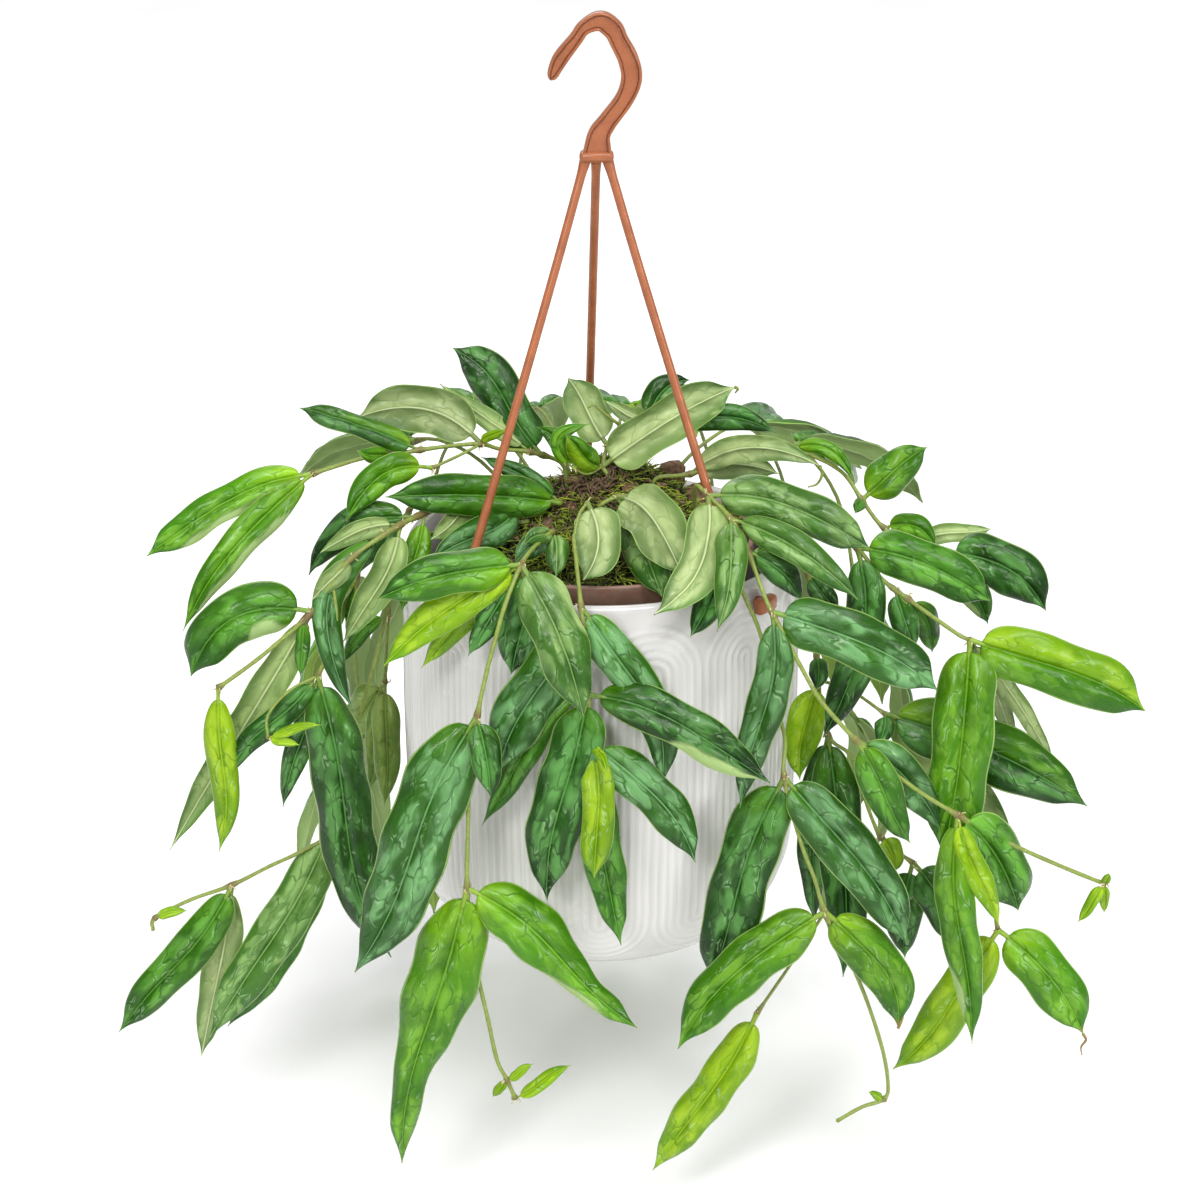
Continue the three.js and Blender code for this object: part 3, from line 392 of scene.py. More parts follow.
def scatter_place(draw, reach):
    """A place on the mix, drawn evenly over its round surface."""
    turn = draw.uniform(0, 2 * math.pi)
    away = reach * math.sqrt(draw.uniform(0, 1))
    return away * math.cos(turn), away * math.sin(turn)


def grained(tree, shader, grain, dark, pale, strength, distance):
    """Grain in two colours that stands up a little."""
    coloured(tree, shader, stretched(tree, grain, 0.4, 0.65), dark, pale)
    raised(tree, shader, grain, strength, distance)


def make_bark():
    draw = np.random.default_rng(11)
    points, faces, places = [], [], []
    for _ in range(BARK_FLAKES):
        x, y = scatter_place(draw, BARK_REACH)
        places.append((x, y, draw.uniform(2.2, 5.2), draw.uniform(1.4, 3.2), draw.uniform(0.5, 1.2)))
    for x, y in BARK_NUGGETS:
        places.append((x, y, draw.uniform(6.5, 8), draw.uniform(5.5, 6.5), draw.uniform(5.5, 7)))
    for number, (x, y, *size) in enumerate(places):
        rise = 0.9 if number < BARK_FLAKES else 0.9 + 0.6 * size[2]
        swing = Matrix.Rotation(draw.uniform(0, 6.3), 3, "Z")
        lean = swing @ Matrix.Rotation(draw.uniform(-0.6, 0.6), 3, "X")
        flake = bmesh.new()
        bmesh.ops.create_icosphere(flake, subdivisions=2, radius=1)
        first = len(points)
        seed = Vector((x, y, size[0]))
        for corner in flake.verts:
            rough = 1 + 0.45 * noise.noise(corner.co * 1.7 + seed)
            place = lean @ Vector(np.array(corner.co) * size * rough)
            points.append((x + place.x, y + place.y, crumbled_top(x, y) + rise + place.z))
        faces.extend(tuple(first + v.index for v in face.verts) for face in flake.faces)
        flake.free()
    bark, tree, shader = new_material("bark_flakes", 0.85)
    grained(tree, shader, body_noise(tree, 600, 6, 0.65), BARK, BARK_PALE, 0.7, 0.0006)
    new_piece("bark_flakes", points, faces, bark)


make_bark()


# The moss
# Living moss over most of the mix: short threads, yellow-green at their tips and almost black
# below, where they are older and darkened as painted shade; they lie over each other in tufts.
# Dry roots run over it, in a tangle at the middle.
MOSS_TUFTS = 1000
MOSS_THREADS = 7
MOSS_REACH = 55
# Along a thread of moss: shares of its length, its radius there, and how young it is.
MOSS_STEPS = (0, 0.35, 0.7, 1)
MOSS_RADII = (0.42, 0.38, 0.26, 0.08)
MOSS_YOUTH = (0.0, 0.4, 0.8, 1.0)
MOSS_SIDES = 3
MOSS_YOUNG = (0.33, 0.43, 0.022)
# The foot of a thread: older moss, darkened to almost black as painted shade.
MOSS_OLD_AND_SHADED = (0.008, 0.013, 0.001)
ROOT_STRANDS = 46
ROOT_REACH = 46
ROOT_BENDS = 5
MAT_STRANDS = 44
MAT_PLACE = (-3, 1)
MAT_SPREAD = (6, 2)
# How high a root lies over the mix, from and to, how much it swerves at a bend, and its step.
LONE_ROOT = ((0.4, 2.6), 0.5, 5)
MAT_ROOT = ((0.6, 5.5), 1.2, 2.6)
STRAND_STEPS = 4
STRAND_SIDES = 6
ROOT_BROWN = (0.06, 0.033, 0.015)
ROOT_PALE = (0.15, 0.092, 0.045)


def frames_along(line):
    """Tangent and two sides at each place of a line, carried along without a twist."""
    line = np.asarray(line, float)
    ahead = np.gradient(line, axis=0)
    ahead /= np.linalg.norm(ahead, axis=1)[:, None]
    side = np.cross(ahead[0], (0, 0, 1))
    if np.linalg.norm(side) < 0.1:
        side = np.array([1.0, 0.0, 0.0])
    sides = []
    for step in ahead:
        side = side - step * np.dot(side, step)
        side /= np.linalg.norm(side)
        sides.append(side)
    sides = np.array(sides)
    return ahead, sides, np.cross(ahead, sides)


def through(places, steps):
    """A smooth line through the places, with this many steps from one to the next."""
    places = [np.asarray(p, float) for p in places]
    ends = [2 * places[0] - places[1], *places, 2 * places[-1] - places[-2]]
    line = []
    for i in range(1, len(ends) - 2):
        a, b, c, d = ends[i - 1:i + 3]
        for k in range(steps):
            t = k / steps
            line.append(0.5 * (2 * b + (c - a) * t + (2 * a - 5 * b + 4 * c - d) * t * t
                               + (3 * b - a - 3 * c + d) * t ** 3))
    line.append(places[-1])
    return np.array(line)


def tube(line, radii, sides, first=0):
    """Points and faces of a round strand along a line, closed to a point at each end."""
    line = np.asarray(line, float)
    ahead, side, over = frames_along(line)
    turns = np.linspace(0, 2 * math.pi, sides, endpoint=False)
    radii = np.broadcast_to(radii, len(line))
    ring = side[:, None] * np.cos(turns)[None, :, None] + over[:, None] * np.sin(turns)[None, :, None]
    rings = (line[:, None] + ring * radii[:, None, None]).reshape(-1, 3)
    ends = [line[0] - ahead[0] * radii[0] * 0.6, line[-1] + ahead[-1] * radii[-1] * 0.6]
    return np.vstack([rings, ends]), closed_faces(len(line), sides, first)


def make_moss():
    draw = np.random.default_rng(23)
    points, faces = [], []
    for _ in range(MOSS_TUFTS):
        x, y = scatter_place(draw, MOSS_REACH)
        lean = draw.uniform(0, 2 * math.pi)
        for _ in range(MOSS_THREADS):
            turn = lean + draw.normal(0, 0.7)
            out = np.array([math.cos(turn), math.sin(turn), draw.uniform(0.15, 1.1)])
            length = draw.uniform(3.2, 7.5)
            start = np.array([x + draw.normal(0, 1), y + draw.normal(0, 1), 0])
            start[2] = crumbled_top(start[0], start[1]) - 0.4
            bend = np.array([draw.normal(0, 0.3), draw.normal(0, 0.3), -draw.uniform(0.1, 0.7)])
            line = [start + length * (t * out + t * t * bend) for t in MOSS_STEPS]
            strand, skin = tube(line, MOSS_RADII, MOSS_SIDES, len(points))
            points.extend(strand)
            faces.extend(skin)
    moss, tree, shader = new_material("moss", 0.9)
    share = worked_out(tree, "MULTIPLY", read_back(tree, "young"), body_noise(tree, 120, 5))
    coloured(tree, shader, stretched(tree, share, 0.16, 0.56), MOSS_OLD_AND_SHADED, MOSS_YOUNG)
    raised(tree, shader, body_noise(tree, 1400, 2), 0.6, 0.0004)
    piece = new_piece("moss_threads", points, faces, moss)
    per_thread = np.concatenate([np.repeat(MOSS_YOUTH, MOSS_SIDES), [MOSS_YOUTH[0], MOSS_YOUTH[-1]]])
    store(piece, "young", np.tile(per_thread, MOSS_TUFTS * MOSS_THREADS))


make_moss()


def make_surface_roots():
    draw = np.random.default_rng(37)
    points, faces = [], []
    for number in range(ROOT_STRANDS + MAT_STRANDS):
        is_lone = number < ROOT_STRANDS
        x, y = scatter_place(draw, ROOT_REACH) if is_lone else draw.normal(MAT_PLACE, MAT_SPREAD)
        lifts, swerve, step = LONE_ROOT if is_lone else MAT_ROOT
        turn = draw.uniform(0, 2 * math.pi)
        places = []
        for _ in range(ROOT_BENDS):
            places.append((x, y, crumbled_top(x, y) + draw.uniform(*lifts)))
            turn += draw.normal(0, swerve)
            x += step * math.cos(turn)
            y += step * math.sin(turn)
        if math.hypot(x, y) > MOSS_REACH:
            continue
        line = through(places, STRAND_STEPS)
        radii = draw.uniform(0.35, 0.8) * np.linspace(1, 0.35, len(line))
        strand, skin = tube(line, radii, STRAND_SIDES, len(points))
        points.extend(strand)
        faces.extend(skin)
    root, tree, shader = new_material("dry_roots", 0.8)
    grained(tree, shader, body_noise(tree, 500, 5), ROOT_BROWN, ROOT_PALE, 0.5, 0.0004)
    new_piece("surface_roots", points, faces, root)


make_surface_roots()


# The hanger
# Hook, flange, three rods and their toggles, injection-moulded in one piece of terracotta-brown
# plastic. The hook has a raised bead round a thinner web. The toggles clip through the pot's wall.
HOOK_STEPS = 9
HOOK_TIP_ROUND = 3
HOOK_UNEVEN = 0.05
HOOK_WEB_HALF = 1.95
# The hook's middle as (across, height, half its width), from its tip to the flange.
HOOK_LINE = [
    (-19.2, -18.2, 1.9), (-15.6, -10.6, 2.9), (-9.6, -2.9, 2.6), (-6.2, 1.5, 2.7), (-0.4, 3.8, 3.6),
    (4.4, 0.8, 3.8), (6.8, -3.7, 3.6), (10.2, -10.4, 3.9), (11.5, -17.5, 4), (8.8, -25.2, 3.5),
    (2.4, -33.9, 3.6), (-0.7, -39, 4.4), (-1.5, -46, 5.6),
]
# The hook's bead as (in from its edge, half its thickness), and which of them is the fold inside.
HOOK_BEAD_SECTION = [
    (0, 0), (0.02, 2.1), (0.12, 2.8), (0.36, 3.3), (0.66, 3.45), (0.96, 3.3), (1.22, 2.7), (1.35, 1.95),
    (1.75, 1.95),
]
HOOK_FOLD_AT = 7
FLANGE_LOW, FLANGE_HIGH = (-8.3, -4, -49), (4.9, 4, -45)
FLANGE_EDGE = 1.7
ROD_RADIUS = 1.75
ROD_FOOT_Z = -210
ROD_FOOT_RADIUS = 71
ROD_STARTS = (-5.6, -1.8, 2.1)
ROD_TURNS = (-50, 185, 50)
ROD_SAG = 1.5
ROD_SWELLS = (1.35, 1.2, 1.05)
ROD_STEPS = 16
ROD_SIDES = 16
NECK_RADIUS = 2.5
NECK_REACH = (76, 80)
TOGGLE_INNER, TOGGLE_OUTER, TOGGLE_WIDE, TOGGLE_HIGH = 80.6, 85.2, 11, 6.4
TOGGLE_EDGE = 1.6
HANGER_CREASE = 50
TERRACOTTA = (0.35, 0.115, 0.045)
TERRACOTTA_DEEP = (0.2, 0.055, 0.02)
# The colour in the fold between bead and web is painted shade.
TERRACOTTA_FOLD_SHADE = (0.07, 0.016, 0.006)


def around(turn, radius, z):
    """A place at a turn from the front, positive to the right."""
    angle = math.radians(turn)
    return np.array([radius * math.sin(angle), -radius * math.cos(angle), z])


def hook_bar():
    """Points and faces of the hook, and which points lie in the fold between bead and web."""
    line = through([(x, half, z) for x, z, half in HOOK_LINE], HOOK_STEPS)
    halves = line[:, 1].copy()
    middle = line * (1, 0, 1)
    ahead = np.gradient(middle, axis=0)
    ahead /= np.linalg.norm(ahead, axis=1)[:, None]
    across = np.cross(ahead, (0, 1, 0))
    run = np.concatenate([[0], np.cumsum(np.linalg.norm(np.diff(middle, axis=0), axis=1))])
    points = []
    for i, place in enumerate(middle):
        end = min(1, math.sqrt(max(0.04, 1 - (1 - min(1, run[i] / HOOK_TIP_ROUND)) ** 2)))
        half = halves[i] * end
        bead = 1 + HOOK_UNEVEN * math.sin(run[i] * 0.7)
        loop = [(half - min(inset * bead, half * 0.95), thick * end) for inset, thick in HOOK_BEAD_SECTION]
        loop.append((0, HOOK_WEB_HALF * end))
        loop += [(-s, t) for s, t in reversed(loop[:-1])]
        loop += [(s, -t) for s, t in reversed(loop[1:-1])]
        points.extend(place + across[i] * s + np.array([0, t, 0]) for s, t in loop)
    size = len(loop)
    half_round = len(HOOK_BEAD_SECTION)
    folds = [min(k, size - k) for k in range(size)]
    folds = [min(k, 2 * half_round - k) == HOOK_FOLD_AT for k in folds] * len(middle)
    faces = [(b, a, d, c) for a, b, c, d in ring_faces(len(middle), size)]
    faces.append(tuple(range(size)))
    faces.append(tuple(reversed(range(len(points) - size, len(points)))))
    return points, faces, folds


def rounded_box(low, high, radius, turn, first):
    """A box with rounded edges, turned about Z."""
    low, high = Vector(low), Vector(high)
    block = bmesh.new()
    bmesh.ops.create_cube(block, size=1)
    bmesh.ops.scale(block, vec=high - low, verts=block.verts)
    bmesh.ops.bevel(block, geom=block.edges[:], offset=radius, segments=3, profile=0.5, affect="EDGES")
    bmesh.ops.translate(block, vec=(low + high) / 2, verts=block.verts)
    bmesh.ops.rotate(block, matrix=Matrix.Rotation(math.radians(turn), 3, "Z"), verts=block.verts)
    points = [tuple(corner.co) for corner in block.verts]
    faces = [tuple(first + corner.index for corner in face.verts) for face in block.faces]
    block.free()
    return points, faces


def sharpen(piece, degrees):
    """Keeps the edges that turn by more than this crisp in the smooth shading."""
    shape = bmesh.new()
    shape.from_mesh(piece.data)
    limit = math.radians(degrees)
    for edge in shape.edges:
        edge.smooth = len(edge.link_faces) != 2 or edge.calc_face_angle(0.0) < limit
    shape.to_mesh(piece.data)
    shape.free()


def make_hanger():
    points, faces, folds = hook_bar()

    def take(made):
        points.extend(made[0])
        faces.extend(made[1])

    take(rounded_box(FLANGE_LOW, FLANGE_HIGH, FLANGE_EDGE, 0, len(points)))
    for start, turn in zip(ROD_STARTS, ROD_TURNS):
        foot = around(turn, ROD_FOOT_RADIUS, ROD_FOOT_Z)
        head = np.array([start, 0, FLANGE_LOW[2] + 2])
        bow = head + 0.3 * (foot - head) - (0, 0, ROD_SAG)
        line = through([head, bow, foot], ROD_STEPS)
        radii = np.full(len(line), ROD_RADIUS)
        radii[:len(ROD_SWELLS)] *= ROD_SWELLS
        take(tube(line, radii, ROD_SIDES, len(points)))
        elbow = [foot - (0, 0, 0.2), around(turn, ROD_FOOT_RADIUS + 2, ROD_FOOT_Z)]
        neck = elbow + [around(turn, r, ROD_FOOT_Z) for r in (*NECK_REACH, TOGGLE_INNER + 1)]
        take(tube(neck, [NECK_RADIUS * 0.9] + [NECK_RADIUS] * 4, ROD_SIDES, len(points)))
        low = (TOGGLE_INNER, -TOGGLE_WIDE / 2, ROD_FOOT_Z - TOGGLE_HIGH / 2)
        high = (TOGGLE_OUTER, TOGGLE_WIDE / 2, ROD_FOOT_Z + TOGGLE_HIGH / 2)
        take(rounded_box(low, high, TOGGLE_EDGE, turn - 90, len(points)))

    plastic, tree, shader = new_material("terracotta_plastic", 0.36)
    shader.inputs["Specular IOR Level"].default_value = 0.4
    flow = body_noise(tree, 130, 6, 0.6)
    body = colour_mix(tree, stretched(tree, flow, 0.35, 0.7, 0.0, 0.6), TERRACOTTA, TERRACOTTA_DEEP)
    # The fold between bead and web is darkened as painted shade.
    fold_shade = stretched(tree, read_back(tree, "fold"), 0.1, 0.85, 0.0, 0.95)
    coloured(tree, shader, fold_shade, body, TERRACOTTA_FOLD_SHADE)
    tree.links.new(stretched(tree, flow, 0.3, 0.7, 0.22, 0.4), shader.inputs["Roughness"])
    raised(tree, shader, body_noise(tree, 380, 5), 0.16, 0.0005)
    piece = new_piece("hanger_moulded", points, faces, plastic, "hanger")
    store(piece, "fold", [float(is_fold) for is_fold in folds] + [0.0] * (len(points) - len(folds)))
    sharpen(piece, HANGER_CREASE)


make_hanger()


# The trailing stems
# Each hoya stem stands in the mix and trails over the rim: a slim green-brown stem with swollen
# nodes, pairs of thick netted leaves on short stalks, and a few young lime-green shoots.
STEM_HOLE_DEPTH = 8
STEM_HOLE_GAP = 0.3
STEM_UPRIGHT = 3
STEM_STEPS = 5
STEM_SIDES = 10
NODE_REACH = 0.13
STALK_LENGTH = 5
STALK_SHARE = 0.12
STALK_SHOWN = 0.85
STALK_SWELLS = np.array([1.15, 1, 0.92, 0.9, 0.92, 0.85, 0.5])
STALK_SIDES = 8
TENDRIL_THICK = 0.8
DRIED_THICK = 0.7
ROOTLET_THICK = 0.42
BLADE_ROWS = 40
NARROW_BLADE_ROWS = 24
NARROW_UNDER = 10
# Where the points of a row lie on half a blade, from its rib to its margin.
BLADE_HALF = [0, 0.05, 0.13, 0.24, 0.36, 0.48, 0.6, 0.72, 0.83, 0.92, 0.975, 1]
BLADE_ACROSS = np.array([-x for x in BLADE_HALF[:0:-1]] + BLADE_HALF)
BLADE_THICKNESS = 1.1
BLADE_LEAST_HALF = 0.18
FULL_HALF = 6
RIB_REACH = 0.8
RIB_DEPTH = 0.5
GROOVE_DEPTH = 0.42
MARGIN_WAVE = 0.05
VEIN_SPACING = 9.0
VEIN_SLANT = 0.9
PATCH_SLANT = 0.35
QUILT = 0.14
PUCKER = 0.9
NUMBERS_PER_STEM = 20
# Outline of a leaf: share of its length where the base is full, where the taper starts, how
# late the taper comes, and how far a waist narrows it before a drawn-out tip.
OUTLINES = {
    "long": (0.24, 0.5, 2.5, 0.0), "blunt": (0.18, 0.6, 2.9, 0.0), "drawn": (0.26, 0.72, 2.6, 0.56),
    "small": (0.28, 0.4, 2.2, 0.0), "oval": (0.34, 0.4, 2.3, 0.0),
}
SMALL_UNDER = 16

# A place on a stem is (across, down, near): where it shows from the viewpoint, and how many
# millimetres nearer than the pot's axis it is. A leaf is (place along the run, tip, width, side
# bow, arch, roll, look), with its outline last where the width doesn't settle it.
LEFT_TOP = [
    dict(
        thick=1.5,
        root=(-14, 10),
        run=[(560, 462, -10), (530, 452, -5), (500, 449, 0), (481, 444, 4), (450, 446, 8), (420, 450, 10),
            (390, 455, 12), (360, 459, 14), (312, 474, 16)],
        leaves=[
            (8, (147, 556, 30), 14, -5, 3, 15, "bright", "blunt"),
            (8, (183, 631, 44), 13.5, -5, 5, 0, "bright"),
            (3, (357, 418, -4), 19, -9, 0, 0, "pale"),
            (5, (300, 408, 8), 10, -1, 2, 25, "deep", "blunt"),
            (6, (357, 450, 22), 6.5, 1, 1, 0, "bright"),
            (3, (507, 430, 8), 4, 1, 1, 0, "lime"),
            (0.6, (453, 348, -24), 18, -3, 2, 0, "deep", "blunt"),
            (1, (440, 384, -14), 9, 0, 1, 20, "dull"),
        ],
    ),
    dict(
        thick=1.1,
        run=[(481, 444, 4), (460, 455, 10), (432, 468, 18)],
        leaves=[(2, (346, 522, 36), 13, -8, 2, 0, "bright")],
    ),
]

LEFT_LONG = [
    dict(
        thick=1.5,
        root=(-24, -4),
        run=[(560, 503, 8), (520, 505, 12), (480, 506, 14), (440, 508, 20), (400, 525, 38), (355, 555, 52),
            (333, 580, 55), (312, 612, 57), (275, 645, 62), (250, 665, 64), (218, 688, 66)],
        leaves=[
            (0, (385, 497, 30), 17, -2, 6, 0, "mid"),
            (0, (481, 457, -2), 8, -2, 1, 0, "deep"),
            (1, (430, 560, 48), 14.5, 2, 2, 0, "teal"),
            (2.2, (430, 540, 38), 9, 0, 2, 0, "dull"),
            (3.4, (402, 612, 44), 10, 0, 2, 0, "bright"),
            (3.6, (309, 575, 30), 15, -9, 3, 10, "deep"),
            (4, (320, 553, 40), 8, -3, 1, 0, "dull"),
            (4, (343, 642, 54), 13, 3, 2, 0, "dull"),
            (4.3, (354, 711, 68), 12, -17, 3, 0, "teal"),
            (5.1, (312, 600, 56), 8, 0, 1, 0, "dull"),
            (7, (191, 676, 62), 20.5, -12, 4, 0, "mid", "blunt"),
            (7, (170, 850, 58), 14, 0, 2, 0, "dull"),
            (7.2, (300, 676, 60), 6, 0, 1, 0, "mid"),
            (10, (219, 852, 76), 12, 2, 2, 0, "lime"),
        ],
    ),
    dict(
        thick=1.2,
        run=[(333, 580, 55), (336, 630, 60), (318, 676, 64)],
        leaves=[
            (2, (391, 957, 68), 22, -4, 4, 0, "deep"),
            (2, (227, 780, 70), 10.5, -2, 2, 0, "deep"),
            (2, (283, 807, 58), 10.5, 0, 2, 0, "deep"),
        ],
    ),
    dict(
        thick=1,
        run=[(318, 676, 64), (290, 690, 70), (268, 715, 72), (268, 738, 72)],
        leaves=[
            (3, (321, 725, 76), 4, 1, 1, 0, "lime"),
            (3, (299, 745, 74), 4, 0, 1, 0, "lime"),
        ],
    ),
]

LEFT_LOW = [
    dict(
        thick=1.4,
        root=(-30, -13),
        run=[(525, 522, 14), (485, 527, 12), (450, 530, 14), (415, 540, 20), (396, 562, 27), (388, 600, 34),
            (378, 650, 38), (358, 720, 42), (335, 790, 47), (328, 833, 50), (300, 852, 54), (270, 866, 56),
            (232, 885, 58), (190, 900, 60), (155, 918, 62), (153, 930, 62)],
        leaves=[
            (9, (209, 1038, 64), 19, 2, 3, 0, "sage"),
            (9, (228, 1026, 48), 16, 4, 2, 0, "mid"),
            (12, (119, 1032, 66), 16.5, 2, 2, 0, "mid"),
            (12, (201, 1057, 50), 14, 1, 2, 0, "pale"),
            (14, (187, 911, 62), 4.5, 1, 1, 0, "lime"),
        ],
    ),
]

LEFT_BACK = [
    dict(
        thick=1.4,
        root=(-40, 10),
        run=[(492, 492, -14), (450, 490, -17), (418, 500, -17), (400, 530, -16), (392, 570, -14),
            (388, 615, -12), (386, 655, -10), (385, 683, -8)],
        leaves=[
            (5, (343, 664, -2), 7, -3, 1, 0, "mid"),
            (7, (350, 735, -16), 17, 0, 2, 0, "olive"),
            (7, (368, 792, 2), 9, 0, 2, 0, "olive"),
            (7, (384, 806, 14), 12, 1, 2, 0, "olive"),
            (2.4, (340, 600, -10), 14, -6, 3, 0, "deep"),
        ],
    ),
]

FRONT_LEFT = [
    dict(
        thick=1.5,
        root=(-16, -34),
        run=[(553, 532, 50), (536, 545, 62), (521, 565, 78), (505, 605, 88), (495, 640, 92), (487, 670, 95),
            (477, 716, 98), (470, 760, 101), (468, 820, 103), (467, 888, 104), (472, 940, 103),
            (480, 985, 102), (488, 1020, 101), (497, 1060, 100), (507, 1080, 100), (515, 1098, 100)],
        leaves=[
            (2, (377, 599, 92), 16.5, -3, 3, 0, "mid"),
            (0, (516, 562, 58), 10, -1, 1, 0, "teal"),
            (0, (524, 545, 66), 7, -1, 1, 0, "sage"),
            (0, (556, 577, 62), 9, 1, 1, 0, "sage"),
            (2, (383, 667, 82), 15, -3, 2, 0, "lime"),
            (2, (421, 668, 70), 11.5, -2, 1, 0, "lime"),
            (2, (468, 656, 80), 11, 0, 1, 0, "deep"),
            (2, (511, 674, 84), 18, 3, 2, 0, "deep"),
            (2, (583, 717, 104), 20, 3, 5, 0, "sage"),
            (6, (355, 972, 108), 26.5, 0, 5, 0, "teal"),
            (6, (490, 797, 110), 12, 1, 1, 0, "deep"),
            (9, (402, 1163, 112), 28, -3, 4, 0, "bright", "drawn"),
            (9, (637, 1028, 112), 22.5, 2, 4, 0, "bright", "drawn"),
            (14, (533, 1064, 100), 4, 0, 1, 0, "lime"),
            (15, (571, 1065, 102), 6, 0, 1, 0, "lime"),
            (14, (493, 1096, 100), 4, 0, 1, 0, "lime"),
        ],
    ),
]

FRONT_CROWN = [
    dict(
        thick=1.5,
        root=(2, -17),
        run=[(600, 506, 24), (618, 497, 22), (646, 496, 20)],
        leaves=[
            (1, (662, 597, 70), 16, 1, -1, 0, "sage"),
            (1, (684, 578, 67), 21, 5, 5, 0, "pale"),
        ],
    ),
]

CROWN_TOP = [
    dict(
        thick=1.5,
        root=(3, 3),
        run=[(603, 466, -5), (608, 446, -8), (622, 426, -12), (645, 420, -14), (675, 430, -15)],
        tendrils=[[(621, 426, -12), (600, 410, -10), (594, 405, -10), (588, 408, -10)]],
        leaves=[
            (0, (735, 387, -8), 18, 2, 2, 0, "pale", "blunt"),
            (0, (565, 434, 6), 10.5, 2, 2, 0, "bright"),
            (1, (568, 378, -34), 16, 0, 1, 0, "pale"),
            (3, (606, 402, -18), 6.5, 1, 1, 0, "pale"),
            (3, (690, 380, -26), 12, 4, 1, 0, "deep"),
            (4, (776, 433, -18), 11, 6, 1, 0, "deep"),
        ],
    ),
    dict(
        thick=1.1,
        run=[(603, 466, -5), (588, 474, 0), (575, 470, 3)],
        leaves=[
            (2, (537, 427, -4), 9, -3, 1, 0, "bright"),
            (2, (590, 424, 2), 6.5, 10, 1, 0, "bright"),
        ],
    ),
]

FRONT_MIDDLE = [
    dict(
        thick=1.4,
        root=(-7, -39),
        run=[(574, 535, 58), (576, 560, 70), (581, 607, 86), (585, 650, 88), (588, 695, 90), (592, 744, 92)],
        leaves=[
            (2, (661, 788, 94), 16, 8, 2, 0, "teal"),
            (2.4, (497, 775, 92), 21.5, -3, 2, 0, "teal"),
            (3.3, (482, 825, 86), 13, -2, 1, 0, "mid"),
            (4, (770, 783, 108), 17, 5, 4, 0, "deep"),
            (4, (547, 900, 98), 22, -2, 3, 0, "deep"),
            (5, (695, 862, 102), 16.5, 5, 3, 0, "teal"),
            (5, (621, 945, 91), 16, -2, 0, 0, "mid"),
            (5, (594, 878, 108), 12.5, 2, 3, 0, "lime", "blunt"),
            (5, (606, 772, 107), 3.5, 1, 1, 0, "lime"),
        ],
    ),
    dict(
        thick=1.1,
        run=[(574, 535, 58), (579, 515, 52), (587, 503, 44)],
        leaves=[(2, (583, 581, 66), 18, 5, 4, 0, "pale")],
    ),
]

RIGHT_TOP = [
    dict(
        thick=1.5,
        root=(22, 8),
        run=[(690, 474, -8), (740, 457, -4), (790, 450, 0), (822, 460, 4), (845, 475, 6), (862, 500, 10),
            (884, 528, 14), (915, 542, 17), (943, 552, 20)],
        leaves=[
            (0, (820, 466, 8), 11, 9, 4, 0, "pale"),
            (0, (779, 474, -12), 12, 4, 2, 0, "pale"),
            (2, (853, 481, 10), 6.5, 7, 2, 0, "bright"),
            (5, (927, 447, 4), 16.5, 1, 2, 0, "bright", "oval"),
            (5, (855, 513, 18), 5, 0, 1, 0, "mid"),
            (6, (936, 548, 24), 10, 5, 2, 0, "bright"),
            (7, (992, 529, 8), 8, 1, 1, 0, "pale"),
            (8, (1046, 611, 34), 20, 7, 2, 0, "deep"),
            (8, (988, 624, 22), 13, 2, 2, 0, "mid"),
        ],
    ),
]

RIGHT_MIDDLE = [
    dict(
        thick=1.5,
        root=(36, -10),
        run=[(702, 505, 16), (735, 510, 24), (770, 516, 30), (800, 526, 36), (830, 536, 42), (857, 548, 46),
            (882, 579, 50), (908, 599, 54), (933, 617, 56), (959, 635, 58), (970, 640, 60)],
        leaves=[
            (5, (990, 601, 58), 18, 4, 3, 0, "mid", "blunt"),
            (5, (823, 737, 62), 16, 8, 2, 0, "deep"),
            (6.5, (914, 650, 57), 11, 0, 1, 0, "deep"),
            (7, (932, 652, 42), 10, 3, 1, 0, "mid"),
            (10, (1145, 711, 68), 22, 3, 4, 0, "bright", "blunt"),
            (10, (942, 856, 80), 23.5, 2, 4, 0, "bright", "blunt"),
            (10, (1016, 758, 30), 7.5, 2, 1, 0, "pale"),
            (10, (1055, 768, 38), 7.5, 2, 1, 0, "pale"),
            (10, (987, 745, 32), 7.5, 1, 1, 0, "pale"),
        ],
    ),
]

